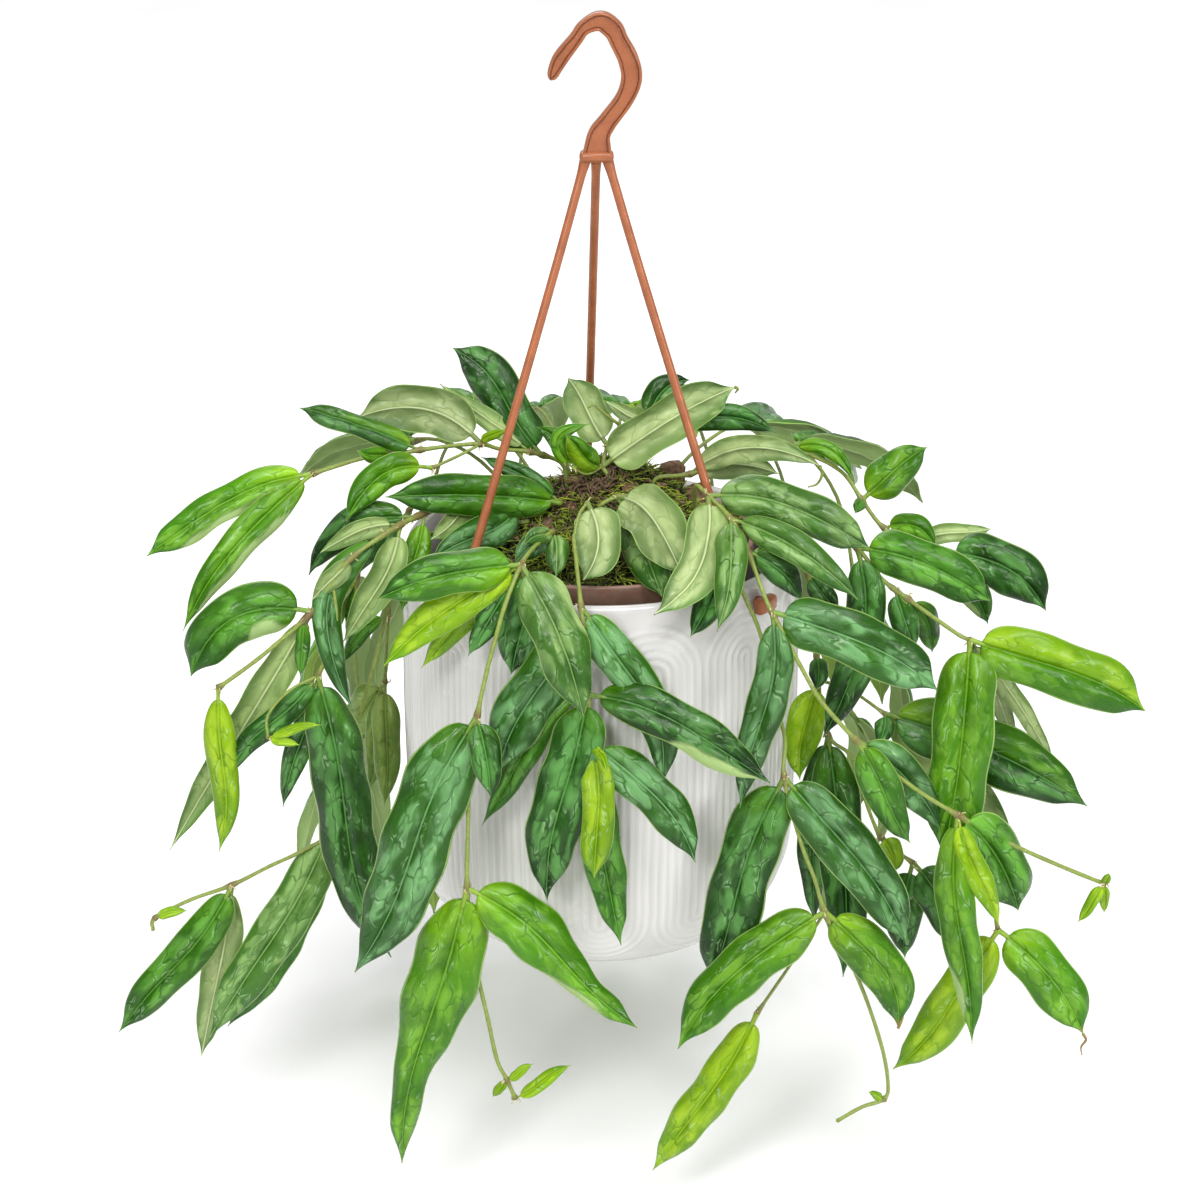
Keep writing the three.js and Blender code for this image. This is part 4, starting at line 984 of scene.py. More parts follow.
RIGHT_LONG = [
    dict(
        thick=1.5,
        root=(38, -22),
        run=[(695, 488, 37), (708, 496, 45), (731, 519, 55), (748, 552, 65), (764, 595, 76), (772, 612, 80),
            (800, 665, 86), (821, 701, 88), (856, 740, 90), (894, 773, 90), (926, 796, 90), (958, 815, 90),
            (1003, 840, 88), (1044, 859, 86), (1092, 879, 82), (1105, 883, 82)],
        leaves=[
            (1, (870, 549, 62), 16.5, 6, 3, 0, "sage", "blunt"),
            (1, (654, 615, 91), 17, 8, 4, 0, "pale"),
            (3, (802, 601, 62), 11, 3, 2, 0, "deep"),
            (3, (780, 574, 52), 8, 2, 1, 0, "sage"),
            (2, (858, 600, 78), 12.5, 4, 3, 0, "sage"),
            (2, (717, 632, 97), 12.5, 2, 7, 0, "sage"),
            (5, (937, 690, 88), 20.5, 4, 4, 0, "teal", "blunt"),
            (5, (740, 808, 90), 15, 3, 4, 0, "teal"),
            (8, (910, 843, 94), 15, 0, 2, 0, "mid"),
            (8, (940, 830, 82), 15.5, 4, 1, 0, "teal"),
            (11, (972, 1044, 100), 15, -2, 3, 0, "bright"),
            (11, (1018, 910, 84), 21, 4, 1, 0, "mid", "blunt"),
            (11, (999, 926, 97), 10, -1, 2, 0, "lime"),
            (15, (1078, 922, 84), 5, 0, 1, 0, "lime"),
            (15, (1104, 912, 82), 4, 0, 1, 0, "lime"),
            (15, (1109, 873, 84), 3.5, 0, 1, 0, "lime"),
        ],
    ),
    dict(
        thick=1.2,
        run=[(958, 815, 90), (985, 870, 81), (998, 930, 80)],
        leaves=[
            (2, (1083, 1034, 90), 20.5, 4, 3, 0, "bright"),
            (2, (893, 1069, 78), 18, 3, 2, 0, "lime"),
        ],
    ),
]

RIGHT_LOW = [
    dict(
        thick=1.4,
        root=(32, -34),
        run=[(700, 560, 50), (732, 576, 62), (748, 604, 72), (762, 640, 75), (775, 700, 75), (785, 740, 78),
            (784, 778, 84), (800, 840, 90), (815, 880, 92), (825, 912, 94), (859, 981, 94), (881, 1044, 92),
            (888, 1083, 90), (884, 1099, 90), (862, 1107, 92), (837, 1121, 94)],
        leaves=[
            (0.5, (690, 637, 86), 11.5, 2, 2, 0, "deep"),
            (6, (712, 988, 91), 22.5, -3, 3, 0, "deep", "blunt"),
            (6, (907, 945, 98), 21, 4, 3, 0, "teal"),
            (9, (678, 1049, 110), 20, -6, 4, 0, "bright"),
            (9, (898, 1028, 98), 19, 7, 2, 0, "bright"),
            (13, (869, 1092, 88), 3.5, 0, 1, 0, "lime"),
        ],
    ),
    dict(
        thick=1.2,
        run=[(825, 912, 94), (795, 958, 89), (757, 1013, 88)],
        leaves=[(2, (653, 1170, 94), 16.5, 2, 3, 0, "lime")],
    ),
]

RIGHT_BACK = [
    dict(
        thick=1.4,
        root=(44, 8),
        run=[(740, 500, -2), (775, 512, 2), (795, 537, 9), (808, 575, 16), (815, 620, 24), (818, 680, 30),
            (828, 735, 36), (850, 755, 42), (862, 790, 46), (881, 837, 50), (913, 863, 52)],
        leaves=[
            (3, (838, 613, 26), 10, 0, 1, 0, "deep"),
            (5, (800, 780, 42), 15, -2, 1, 0, "lime"),
            (4.6, (816, 690, 42), 8, 1, 1, 0, "deep"),
            (6, (843, 977, 66), 19, 3, 3, 0, "deep"),
            (6, (815, 925, 40), 14, -3, 1, 0, "deep"),
            (9, (893, 873, 58), 10, 2, 1, 0, "lime"),
            (10, (905, 958, 60), 15.5, -2, 2, 0, "deep"),
            (10, (962, 945, 64), 17.5, 2, 2, 0, "deep"),
        ],
    ),
    dict(
        thick=1.2,
        run=[(818, 680, 30), (850, 690, 40), (885, 714, 48)],
        leaves=[
            (2, (1087, 806, 60), 24.5, 4, 3, 0, "deep"),
            (2, (1014, 848, 46), 17.5, 2, 1, 0, "pale"),
            (2, (878, 745, 56), 8, 1, 1, 0, "deep"),
        ],
    ),
]

# Stems behind the pot, as (turn from the front, height where it ends).
BACK_STEMS = [(113, -300), (134, -352), (154, -318), (173, -372), (199, -330), (221, -380), (243, -312)]
BACK_LEAF_PAIRS = 3
BACK_THICK = 1.4
BACK_BLADE_ROWS = 28
BACK_ROOT_RADIUS = 40
BACK_SHOULDER = [(60, -178), (86, -176)]
BACK_FALL = [(108, -200), (118, -240)]
BACK_BELLY_RADIUS = 121
BACK_END_RADIUS = 118
BACK_LOOKS = ["deep", "mid", "teal", "bright", "deep", "mid"]
# From and to: how far the tips of a pair hang down, spread sideways and stand out.
BACK_TOP_PAIR = ((12, 32), (20, 30), (40, 56))
BACK_LOW_PAIR = ((60, 84), (15, 22), (4, 30))
BACK_LEAF_WIDTHS, BACK_LEAF_BOWS, BACK_LEAF_ARCHES, BACK_LEAF_ROLLS = (16, 23), (1, 5), (4, 9), (-12, 12)

# Colours of a leaf as seen, 0 to 255: next to the stalk, along the blade, at the tip, in its
# veins and painted shade, and its painted sheen where its skin would take the light.
LOOKS = {
    "deep": ((70, 122, 14), (24, 68, 4), (12, 46, 4), (5, 30, 0), (80, 134, 62)),
    "teal": ((76, 130, 26), (38, 84, 14), (28, 70, 18), (14, 46, 2), (100, 148, 92)),
    "mid": ((96, 150, 8), (46, 98, 3), (28, 76, 6), (14, 50, 0), (86, 142, 46)),
    "sage": ((104, 142, 58), (60, 102, 30), (44, 88, 30), (34, 72, 16), (122, 156, 88)),
    "bright": ((130, 174, 4), (64, 120, 0), (42, 98, 4), (30, 80, 0), (106, 158, 40)),
    "lime": ((148, 180, 6), (112, 150, 0), (84, 130, 0), (70, 116, 0), (144, 176, 34)),
    "pale": ((110, 134, 66), (102, 128, 68), (54, 98, 38), (68, 102, 44), (174, 190, 130)),
    # Next: the pale underside, darker as painted shade.
    "dull": ((112, 132, 70), (90, 116, 60), (62, 98, 38), (54, 86, 32), (144, 164, 102)),
    "olive": ((134, 154, 70), (108, 138, 56), (88, 120, 44), (68, 96, 30), (142, 164, 84)),
}
# A leaf with one of these looks shows its underside.
TURNED_LOOKS = ("pale", "dull")
# The underside of the other leaves, which is greener on young ones.
UNDER_LOOKS = {"lime": (170, 198, 84), "bright": (152, 184, 86)}
UNDER_COLOUR = (146, 172, 108)
MARGIN_PALE_AND_LIT = (158, 190, 104)
GLINT_COLOUR = (176, 208, 164)
PALE_RIB = (206, 216, 168)
APEX_BROWN = (142, 118, 66)
STEM_GREEN = (130, 148, 64)
STEM_BROWN = (112, 90, 54)
ROOTLET_CREAM = (206, 194, 142)
# Leaves with one half in another look, partly their own tone and partly painted light on the half
# that faces it; seen along the leaf from its stalk, 1 is the left half.
SPLIT_LOOKS = {
    (1145, 711): (1, "lime"), (565, 434): (1, "lime"), (377, 599): (1, "bright"),
    (1087, 806): (1, "bright"), (300, 408): (-1, "bright"), (147, 556): (-1, "bright"),
}
# Leaves whose margin curls over and shows its pale underside: which half, from and to along
# the leaf, and how far across it starts.
CURLED_MARGINS = {
    (637, 1028): (-1, 0.48, 0.84, 0.5), (770, 783): (-1, 0.42, 1.0, 0.4),
    (972, 1044): (-1, 0.55, 0.9, 0.4), (583, 717): (1, 0.0, 0.5, 0.7),
    (988, 624): (-1, 0.2, 0.9, 0.4), (191, 676): (1, 0.0, 0.42, 0.4),
    (147, 556): (1, 0.0, 0.8, 0.62), (183, 631): (1, 0.1, 0.95, 0.5),
}
# Curled and withered tips, as places that the tip goes on through.
CURLED_TIPS = {
    (820, 466): [(822, 475, 8), (817, 484, 8), (808, 487, 8)],
    (735, 387): [(738, 389, -8), (735, 393, -8)],
}
DRIED_TIPS = {
    (1083, 1034): [(1086, 1040, 90), (1081, 1047, 89), (1082, 1055, 88)],
    (898, 1028): [(902, 1020, 98), (904, 1012, 96)],
}


def linear(colour):
    """A colour given as it is seen, 0 to 255, as the light values that a shader takes."""
    share = np.asarray(colour, float) / 255
    return np.where(share <= 0.04045, share / 12.92, ((share + 0.055) / 1.055) ** 2.4)


def plain(colour):
    """A seen colour as a plain (r, g, b), for a material's own socket."""
    return tuple(linear(colour).tolist())


def seen(place):
    """Where a place of (across, down, near) is, in millimetres."""
    across, down, near = place
    rise = LEVEL_ROW - down
    ahead = REACH * LENS_PIXELS + DIP * rise
    ray = np.array([across - AXIS_COLUMN, ahead, REACH * rise - DIP * LENS_PIXELS])
    return EYE + ray * ((-near - EYE[1]) / ray[1])


def unit(vector):
    return vector / np.linalg.norm(vector)


def units(rows):
    return rows / np.linalg.norm(rows, axis=1)[:, None]


def eased(share):
    """Starts and ends gently between 0 and 1."""
    return share * share * (3 - 2 * share)


def held(value):
    return np.clip(value, 0, 1)


def mingled(first, second, share):
    return first * (1 - share) + second * share


def blade_share(s, outline):
    """Share of a leaf's full width at a share of its length, from its round base to its fine tip."""
    base, taper_from, taper_power, waist = OUTLINES[outline]
    rise = (1 - (1 - np.minimum(s / base, 1)) ** 2.2) ** 0.5
    past = held((s - taper_from) / (1 - taper_from))
    point = 1 - 0.5 * eased(held((s - 0.85) / 0.13))
    narrowed = 1 - waist * eased(held((s - 0.3) / 0.45))
    return rise * (1 - past ** taper_power) * point * narrowed


class Leaf:
    """One leaf: its chances, the line from its stalk to its tip, its blade and its colours."""

    def __init__(self, growth, base, tip, facing, width, side, arch, roll, look, outline="", key=None):
        draw = growth.draw
        self.order, self.number = growth.leaves, growth.leaves + growth.number * NUMBERS_PER_STEM
        self.base, self.side, self.arch = base, side, arch
        self.width, self.look, self.key = width, look, key
        self.outline = outline or ("small" if width < SMALL_UNDER else "long")
        self.rows = NARROW_BLADE_ROWS if width < NARROW_UNDER else growth.blade_rows
        self.is_turned = look in TURNED_LOOKS
        self.flip = -1 if self.is_turned else 1
        self.length = np.linalg.norm(tip - base)
        self.along = (tip - base) / self.length
        self.across = unit(np.cross(facing, self.along))
        self.out = np.cross(self.along, self.across)
        self.lean = math.radians(roll)
        self.stalk = min(STALK_SHARE, STALK_LENGTH / self.length) * STALK_SHOWN

        self.sway = draw.normal(0, 0.014) * self.length
        self.twist = math.radians(draw.normal(0, 8))
        self.phase = draw.uniform(0, 2 * math.pi, 4)
        self.lobe = draw.uniform(0.12, 0.2)
        self.keel = draw.uniform(0.02, 0.16)
        self.margin_roll = draw.uniform(0.12, 0.34)
        self.wave_count = max(1.5, self.length / draw.uniform(24, 38))
        self.tip_drop = draw.uniform(0.0, 0.05) * self.length
        self.shade = draw.normal(1, 0.1)
        # How much one half of the leaf is painted lighter and the other darker, as painted shade.
        self.half_shade = draw.uniform(-0.2, 0.2) * (1.6 if self.is_turned else 1)
        # Which half and how far out from the rib the painted sheen gathers.
        self.sheen_half = draw.choice([-1, 1])
        self.sheen_middle = draw.uniform(0.25, 0.5)
        self.young_reach = draw.uniform(0.1, 0.24)
        self.young_share = draw.uniform(0.5, 1)

        self.set_out()
        self.shape_blade()

    def middle(self, t):
        """The leaf's middle line, from 0 at the node to 1 at the tip."""
        t = np.asarray(t, float)
        bow = 4 * t * (1 - t)
        spare = np.sin(2 * math.pi * t)
        droop = self.tip_drop * held(t - 0.6) ** 2 * 2 * (1 - t)
        return (self.base + self.along * (self.length * t)[..., None]
                + self.across * (self.side * bow + self.sway * spare)[..., None]
                + self.out * (self.arch * bow - droop)[..., None])

    def set_out(self):
        """Rows along the blade, closer at its ends, with the ways across and up from each."""
        steps = np.linspace(0, 1, self.rows + 1)
        self.s = 0.5 * steps + 0.5 * (0.5 - 0.5 * np.cos(math.pi * steps))
        t = self.stalk + (1 - self.stalk) * self.s
        self.line = self.middle(t)
        ahead = units(self.middle(t + 0.01) - self.middle(t - 0.01))
        up = self.out * math.cos(self.lean) - self.across * math.sin(self.lean)
        turn = self.twist * (self.s - 0.3)
        faced = up[None] * np.cos(turn)[:, None] + self.across[None] * np.sin(turn)[:, None]
        self.wide = units(np.cross(faced, ahead) * self.flip)
        self.lift = np.cross(ahead, self.wide)

    def shape_blade(self):
        """Both sides of the blade: keeled, waved at the margin, quilted and puckered."""
        s = self.s[:, None]
        hand = np.sign(BLADE_ACROSS)[None]
        size = np.abs(BLADE_ACROSS)[None]
        half = np.maximum(self.width / 2 * blade_share(self.s, self.outline), BLADE_LEAST_HALF)[:, None]
        waves = 2 * math.pi * s * self.wave_count
        left = 1 + MARGIN_WAVE * np.sin(waves + self.phase[0])
        right = 1 + MARGIN_WAVE * np.sin(waves * 1.13 + self.phase[1])
        u = BLADE_ACROSS[None] * (np.where(hand < 0, left, right) * half)
        v = np.repeat(s * self.length, len(BLADE_ACROSS), axis=1)

        bulge = self.lobe * np.sin(math.pi * size ** 0.75)
        fold = half * (self.keel * size + bulge - self.margin_roll * size ** 3)
        ripple = half * 0.1 * size ** 2 * np.sin(waves + self.phase[2] + (hand > 0) * self.phase[3])
        slant = (v - VEIN_SLANT * np.abs(u)) / VEIN_SPACING + self.number * 0.37
        window = np.sin(math.pi * size ** 0.9) * held(half / FULL_HALF)
        quilt = QUILT * np.cos(2 * math.pi * slant) * -window
        bumps = np.array([noise.noise(Vector((a / 4.6, b / 6.5, self.order * 7.3)))
                          for a, b in zip(u.ravel(), v.ravel())]).reshape(u.shape)
        pucker = PUCKER * bumps * held(half / FULL_HALF) * (1 - size ** 4)
        rise = fold + ripple + quilt + pucker
        skin = BLADE_THICKNESS / 2 * np.sqrt(held(1 - size ** 6))
        ridge = np.exp(-(u / RIB_REACH) ** 2)
        groove = GROOVE_DEPTH * ridge * (1 - 0.5 * s)
        rib = RIB_DEPTH * ridge * (1 - 0.7 * s)
        spread = self.line[:, None] + self.wide[:, None] * u[..., None]
        above = spread + self.lift[:, None] * (rise + skin - groove)[..., None]
        below = spread + self.lift[:, None] * (rise - skin - rib)[..., None]
        self.hand, self.size, self.u, self.v = hand, size, u, v
        self.points = self.both_sides(above, below)

    def both_sides(self, top, bottom):
        """One row for each point: the whole upper side, then the lower side within its margin."""
        return np.vstack([top.reshape(-1, 3), bottom[1:-1, 1:-1].reshape(-1, 3)])

    def faces(self, first):
        rows, columns = self.u.shape
        over = first + np.arange(rows * columns).reshape(rows, columns)
        beneath = over.copy()
        inner = np.arange((rows - 2) * (columns - 2)).reshape(rows - 2, columns - 2)
        beneath[1:-1, 1:-1] = first + rows * columns + inner
        quads = [
            np.stack([over[:-1, :-1], over[1:, :-1], over[1:, 1:], over[:-1, 1:]], -1),
            np.stack([beneath[:-1, :-1], beneath[:-1, 1:], beneath[1:, 1:], beneath[1:, :-1]], -1),
        ]
        return [tuple(quad) for quad in np.vstack([side.reshape(-1, 4) for side in quads]).tolist()]

    def side_colours(self, colours):
        """Tint, the colour of veins and painted shade, and the painted sheen colour of one side, as three
        blocks of rows.
        """
        near, body, far, dark, waxed_sheen = (linear(colour) for colour in colours)
        young = np.exp(-(self.s / self.young_reach) ** 2)[:, None, None] * self.young_share
        end = held((self.s - 0.55) / 0.4)[:, None, None]
        tint = mingled(mingled(body, far, end), near, young)
        # One half painted lighter and the other darker, as painted shade.
        halves = self.shade * (1 + self.half_shade * self.hand * held(self.size / 0.1))
        tint = tint * halves[..., None]
        return np.array([tint, np.broadcast_to(dark * self.shade, tint.shape),
                         np.maximum(waxed_sheen * self.shade, tint * 1.05)])

    def withered(self, tint):
        """The tint with its brown tip."""
        dry_from = 0.93 if self.key in DRIED_TIPS else 0.975
        dry = held((self.s - dry_from) / 0.02)[:, None, None] * 0.8
        return mingled(tint, linear(APEX_BROWN), dry)

    def colours(self):
        """Tint, the colour of veins and painted shade, and the painted sheen colour of each point, and
        whether it shows the underside.
        """
        s = self.s[:, None]
        if self.is_turned:
            top, below = self.side_colours(LOOKS["deep"]), self.side_colours(LOOKS[self.look])
            # The underside is painted with sheen near the rib, less towards the tip.
            waxy_sheen = (0.75 * np.exp(-((self.size - 0.25) / 0.4) ** 2) * (1 - 0.6 * s))[..., None]
            below[0] = mingled(below[0], below[2], waxy_sheen)
        else:
            under = UNDER_LOOKS.get(self.look, UNDER_COLOUR)
            top = self.side_colours(LOOKS[self.look])
            below = self.side_colours((under, under, under, np.multiply(under, 0.8), under))
        if self.key in SPLIT_LOOKS:
            hand, other = SPLIT_LOOKS[self.key]
            share = held(hand * BLADE_ACROSS[None] / 0.1) * 0.75 * np.ones_like(s)
            top = mingled(top, self.side_colours(LOOKS[other]), share[..., None])
        shown = np.zeros(self.u.shape)
        if self.key in CURLED_MARGINS:
            hand, start, stop, inset = CURLED_MARGINS[self.key]
            run = held((s - start) / 0.16) * held((stop - s) / 0.12 + 0.3)
            curl_at = 1 - (1 - inset) * run + 0.06 * np.sin(s * 23)
            shown = held((hand * BLADE_ACROSS[None] - curl_at) / 0.1) * (run > 0)
            top[0] = mingled(top[0], linear(UNDER_COLOUR), shown[..., None])
            top[2] = mingled(top[2], linear(UNDER_COLOUR) * 1.1, shown[..., None])
        top[0], below[0] = self.withered(top[0]), self.withered(below[0])
        inner = (self.rows - 1) * (len(BLADE_ACROSS) - 2)
        beneath = np.full(inner, 0.5 if self.is_turned else 1)
        return [self.both_sides(*pair) for pair in zip(top, below)], np.concatenate([shown.ravel(), beneath])

    def skin_places(self):
        """Where each point lies on the blade in millimetres, and its shares across and along."""
        s = self.s[:, None]
        place = np.stack([self.u, self.v, np.full_like(self.u, self.number)], -1)
        # Where the painted sheen gathers: partway out on each half, more on one half, less at the margin and
        # tip.
        sheen_blotch = 0.11 * np.exp(-((self.size - self.sheen_middle) / 0.3) ** 2)
        sheen_blotch = sheen_blotch * (1 + 0.6 * self.hand * self.sheen_half)
        sheen_blotch = sheen_blotch - 0.1 * held((self.size - 0.68) / 0.3) - 0.05 * s - 0.02
        sheen_blotch = sheen_blotch + 0.04 * np.sin(s * 9 + self.phase[0])
        rows, columns = self.u.shape
        span = np.stack([np.repeat(self.size, rows, axis=0), sheen_blotch, np.repeat(s, columns, axis=1)], -1)
        return self.both_sides(place, place), self.both_sides(span, span)

    def stalk_line(self):
        """The stalk's middle, from the node to just inside the blade."""
        line = self.middle(np.linspace(0.0, self.stalk + 0.035, len(STALK_SWELLS)))
        line[2:] -= self.lift[0] * (BLADE_THICKNESS * 0.25 * self.flip)
        return line


class Growth:
    """Collects the blades and stems of one leafy stem, with what its skins read at each point."""

    STORES = ("tint", "vein_and_shade", "wax_sheen", "blade", "span")

    def __init__(self, number, blade_rows=BLADE_ROWS):
        self.number = number
        self.blade_rows = blade_rows
        self.draw = np.random.default_rng(number)
        self.points, self.faces, self.skins, self.under = [], [], [], []
        self.stored = {name: [] for name in self.STORES}
        self.count = 0
        self.leaves = 0

    def take(self, points, faces, skin, values, under):
        self.points.append(points)
        self.faces.extend(faces)
        self.skins.extend([skin] * len(faces))
        for name, value in zip(self.STORES, values):
            self.stored[name].append(np.broadcast_to(value, (len(points), 3)))
        self.under.append(np.broadcast_to(under, len(points)))
        self.count += len(points)

    def take_strand(self, line, radii, sides, tint, vein_and_shade):
        points, faces = tube(line, radii, sides, self.count)
        self.take(points, faces, 1, (tint, vein_and_shade, 0, points, 0), 0)

    def add_stem(self, places, thick, nodes):
        """A stem that swells and turns corky brown at its nodes."""
        line = through(places, STEM_STEPS)
        at = np.arange(len(line)) / STEM_STEPS
        swell = np.zeros(len(line))
        for node in nodes:
            swell = np.maximum(swell, np.exp(-((at - node) / NODE_REACH) ** 2))
        radii = thick * (0.56 + 0.48 * swell)
        radii *= 1 + 0.05 * np.sin(at * 9 + self.draw.uniform(0, 6))
        brown = held(swell * 0.85 + 0.12 * np.sin(at * 3.1 + self.draw.uniform(0, 6)))
        tint = mingled(linear(STEM_GREEN), linear(STEM_BROWN), brown[:, None])
        tint = np.vstack([np.repeat(tint, STEM_SIDES, axis=0), tint[:1], tint[-1:]])
        self.take_strand(line, radii, STEM_SIDES, tint, tint * 0.7)

    def add_strand(self, places, thick, colour):
        """A tendril, withered tip or rootlet, thinning to its end."""
        line = through(places, STRAND_STEPS)
        radii = thick * np.linspace(1, 0.4, len(line))
        self.take_strand(line, radii, STRAND_SIDES, linear(colour), linear(colour) * 0.6)

    def add_rootlets(self, place):
        """Short cream rootlets in a tuft at a node."""
        for _ in range(self.draw.integers(2, 6)):
            out = unit(self.draw.normal(0, 1, 3) + (0, -0.4, -0.1))
            reach = self.draw.uniform(1.8, 3.4)
            bend = self.draw.normal(0, 0.4, 3)
            line = [place, place + 0.5 * reach * out + bend, place + reach * out]
            self.add_strand(line, ROOTLET_THICK, ROOTLET_CREAM)

    def add_leaf(self, *shape):
        """A leaf on its stalk. What shapes it is what Leaf asks for."""
        leaf = Leaf(self, *shape)
        colours, shows_under = leaf.colours()
        self.take(leaf.points, leaf.faces(self.count), 0, (*colours, *leaf.skin_places()), shows_under)
        thick = float(np.clip(leaf.width * 0.07, 0.45, 1.2))
        radii = thick * STALK_SWELLS
        green = 0.5 * linear(LOOKS[leaf.look][0]) + 0.5 * linear(STEM_GREEN)
        self.take_strand(leaf.stalk_line(), radii, STALK_SIDES, green * leaf.shade, green * 0.7)
        self.leaves += 1

    def finish(self, name, node):
        piece = new_piece(name, np.vstack(self.points), self.faces, leaf_skin, node)
        mesh = piece.data
        mesh.materials.append(stem_skin)
        mesh.polygons.foreach_set("material_index", self.skins)
        for key in ("tint", "vein_and_shade", "wax_sheen"):
            colours = np.vstack(self.stored[key])
            colours = np.hstack([colours, np.ones((len(colours), 1))])
            layer = mesh.color_attributes.new(key, "FLOAT_COLOR", "POINT")
            layer.data.foreach_set("color", colours.ravel())
        for key in ("blade", "span"):
            layer = mesh.attributes.new(key, "FLOAT_VECTOR", "POINT")
            layer.data.foreach_set("vector", np.vstack(self.stored[key]).ravel())
        store(piece, "under", np.concatenate(self.under))


def make_leaf_skin():
    """Waxy puckered leaf: painted sheen in crisp blotches, painted shade in broken creases, a thin pale
    margin with painted light.
    """
    skin, tree, shader = new_material("hoya_leaf", 0.3)
    shader.inputs["Specular IOR Level"].default_value = 0.14
    shader.inputs["Coat Roughness"].default_value = 0.24
    tint, vein_and_shade, wax_sheen = (read_back(tree, name, "Color") for name in ("tint", "vein_and_shade", "wax_sheen"))
    under = read_back(tree, "under")

    def plus(a, b):
        return worked_out(tree, "ADD", a, b)

    def less(a, b):
        return worked_out(tree, "SUBTRACT", a, b)

    def times(a, b):
        return worked_out(tree, "MULTIPLY", a, b)

    def larger(a, b):
        return worked_out(tree, "MAXIMUM", a, b)

    def ramp(value, low, high, to_low=0.0, to_high=1.0):
        return stretched(tree, value, low, high, to_low, to_high)

    def blend(share, first, second):
        return colour_mix(tree, share, first, second)

    def parted(name):
        vector = read_back(tree, name, "Vector")
        return add_node(tree, "ShaderNodeSeparateXYZ", {0: vector}).outputs

    aslant, lengthways, leaf_number = parted("blade")
    rimward, sheen_blotch, tipward = parted("span")
    topside = less(1.0, times(under, 0.7))
    patterned = ramp(under, 0.0, 1.0, 1.0, 0.25)
    aside = worked_out(tree, "ABSOLUTE", aslant)
    slanted = less(lengthways, times(aside, VEIN_SLANT))
    leant = less(lengthways, times(aside, PATCH_SLANT))

    # Patches run slantwise from the rib. Each leaf has its own, moved on by its number.
    flow = add_node(tree, "ShaderNodeCombineXYZ", {
        0: plus(times(aslant, 0.2), times(leaf_number, 5.3)),
        1: plus(times(leant, 0.08), times(leaf_number, 2.9)),
        2: times(leaf_number, 3.1),
    }).outputs[0]
    bends = add_node(tree, "ShaderNodeTexNoise", {"Vector": flow, "Scale": 1.4, "Detail": 1.0})
    bending = {0: bends.outputs["Color"], 1: (1.5, 1.1, 0.0), 2: flow}
    bent = add_node(tree, "ShaderNodeVectorMath", bending, operation="MULTIPLY_ADD").outputs[0]

    def waves(scale, detail, distortion, moved=0.0):
        moves = {0: flow, 1: (moved, moved, 0.0)}
        spot = add_node(tree, "ShaderNodeVectorMath", moves, operation="ADD").outputs[0]
        inputs = {"Vector": spot, "Scale": scale, "Detail": detail, "Distortion": distortion}
        return add_node(tree, "ShaderNodeTexNoise", {**inputs, "Roughness": 0.5}).outputs["Fac"]

    def cells(feature):
        inputs = {"Vector": bent, "Scale": 1.0, "Randomness": 0.9}
        settings = {"voronoi_dimensions": "2D", "feature": feature}
        return add_node(tree, "ShaderNodeTexVoronoi", inputs, **settings).outputs

    # Painted sheen of the skin: blotches with crisp edges, over softer ones.
    edge = cells("DISTANCE_TO_EDGE")["Distance"]
    cell = add_node(tree, "ShaderNodeSeparateColor", {0: cells("F1")["Color"]}).outputs[0]
    broad = waves(0.8, 1.0, 0.6)
    field = plus(broad, sheen_blotch)
    waxed_sheen = times(ramp(plus(field, times(cell, 0.3)), 0.6, 0.72), ramp(edge, 0.01, 0.12))
    soft = times(ramp(field, 0.4, 0.68), 0.45)
    soft = times(plus(soft, times(waxed_sheen, 0.5)), patterned)

    # Painted shade in broken creases between the patches and in soft dark patches, faint side veins,
    # and painted shade towards the margin.
    crease_shade = times(ramp(edge, 0.0, 0.07, 1.0, 0.0), ramp(waves(0.9, 1.0, 0.0, 13.0), 0.48, 0.6))
    feathers = worked_out(tree, "PINGPONG", worked_out(tree, "DIVIDE", slanted, VEIN_SPACING / 3), 0.5)
    feather = ramp(feathers, 0.0, 0.16, 1.0, 0.0)
    shaded = ramp(waves(0.7, 1.0, 0.5, 31.0), 0.46, 0.66, 0.0, 0.5)
    shaded = larger(shaded, ramp(rimward, 0.55, 0.95, 0.0, 0.34))
    dark = times(larger(plus(times(crease_shade, 0.62), times(feather, 0.06)), shaded), patterned)
    base = blend(dark, blend(soft, tint, wax_sheen), vein_and_shade)

    # Thin strokes of light just inside the patches' edges.
    glint = times(times(ramp(edge, 0.05, 0.1), ramp(edge, 0.11, 0.2, 1.0, 0.0)),
                  ramp(waves(1.7, 2.0, 0.4, 53.0), 0.54, 0.66, 0.0, 0.3))
    glint = times(times(glint, patterned), ramp(rimward, 0.6, 0.85, 1.0, 0.0))
    base = blend(glint, base, plain(GLINT_COLOUR))

    # The rib: a pale line painted in the sheen colour along its groove above, flanked by painted shade,
    # a paler line on the underside, all finer at the tip.
    from_rib = worked_out(tree, "DIVIDE", aside, less(1.15, times(tipward, 0.65)))
    rib = times(ramp(from_rib, 0.2, 0.42), ramp(from_rib, 0.6, 1.1, 0.3, 0.0))
    rib_light = ramp(from_rib, 0.22, 0.45, 0.75, 0.0)
    rib_pale = times(ramp(from_rib, 0.25, 0.6, 1.0, 0.0), ramp(under, 0.1, 0.4, 0.0, 0.4))
    base = blend(rib_light, blend(rib, base, vein_and_shade), wax_sheen)
    base = blend(rib_pale, base, plain(PALE_RIB))
    # A thin pale margin, brightened as painted light against the shade on the leaf's rounded edge.
    coloured(tree, shader, times(ramp(rimward, 0.945, 0.975), 0.7), base, plain(MARGIN_PALE_AND_LIT))

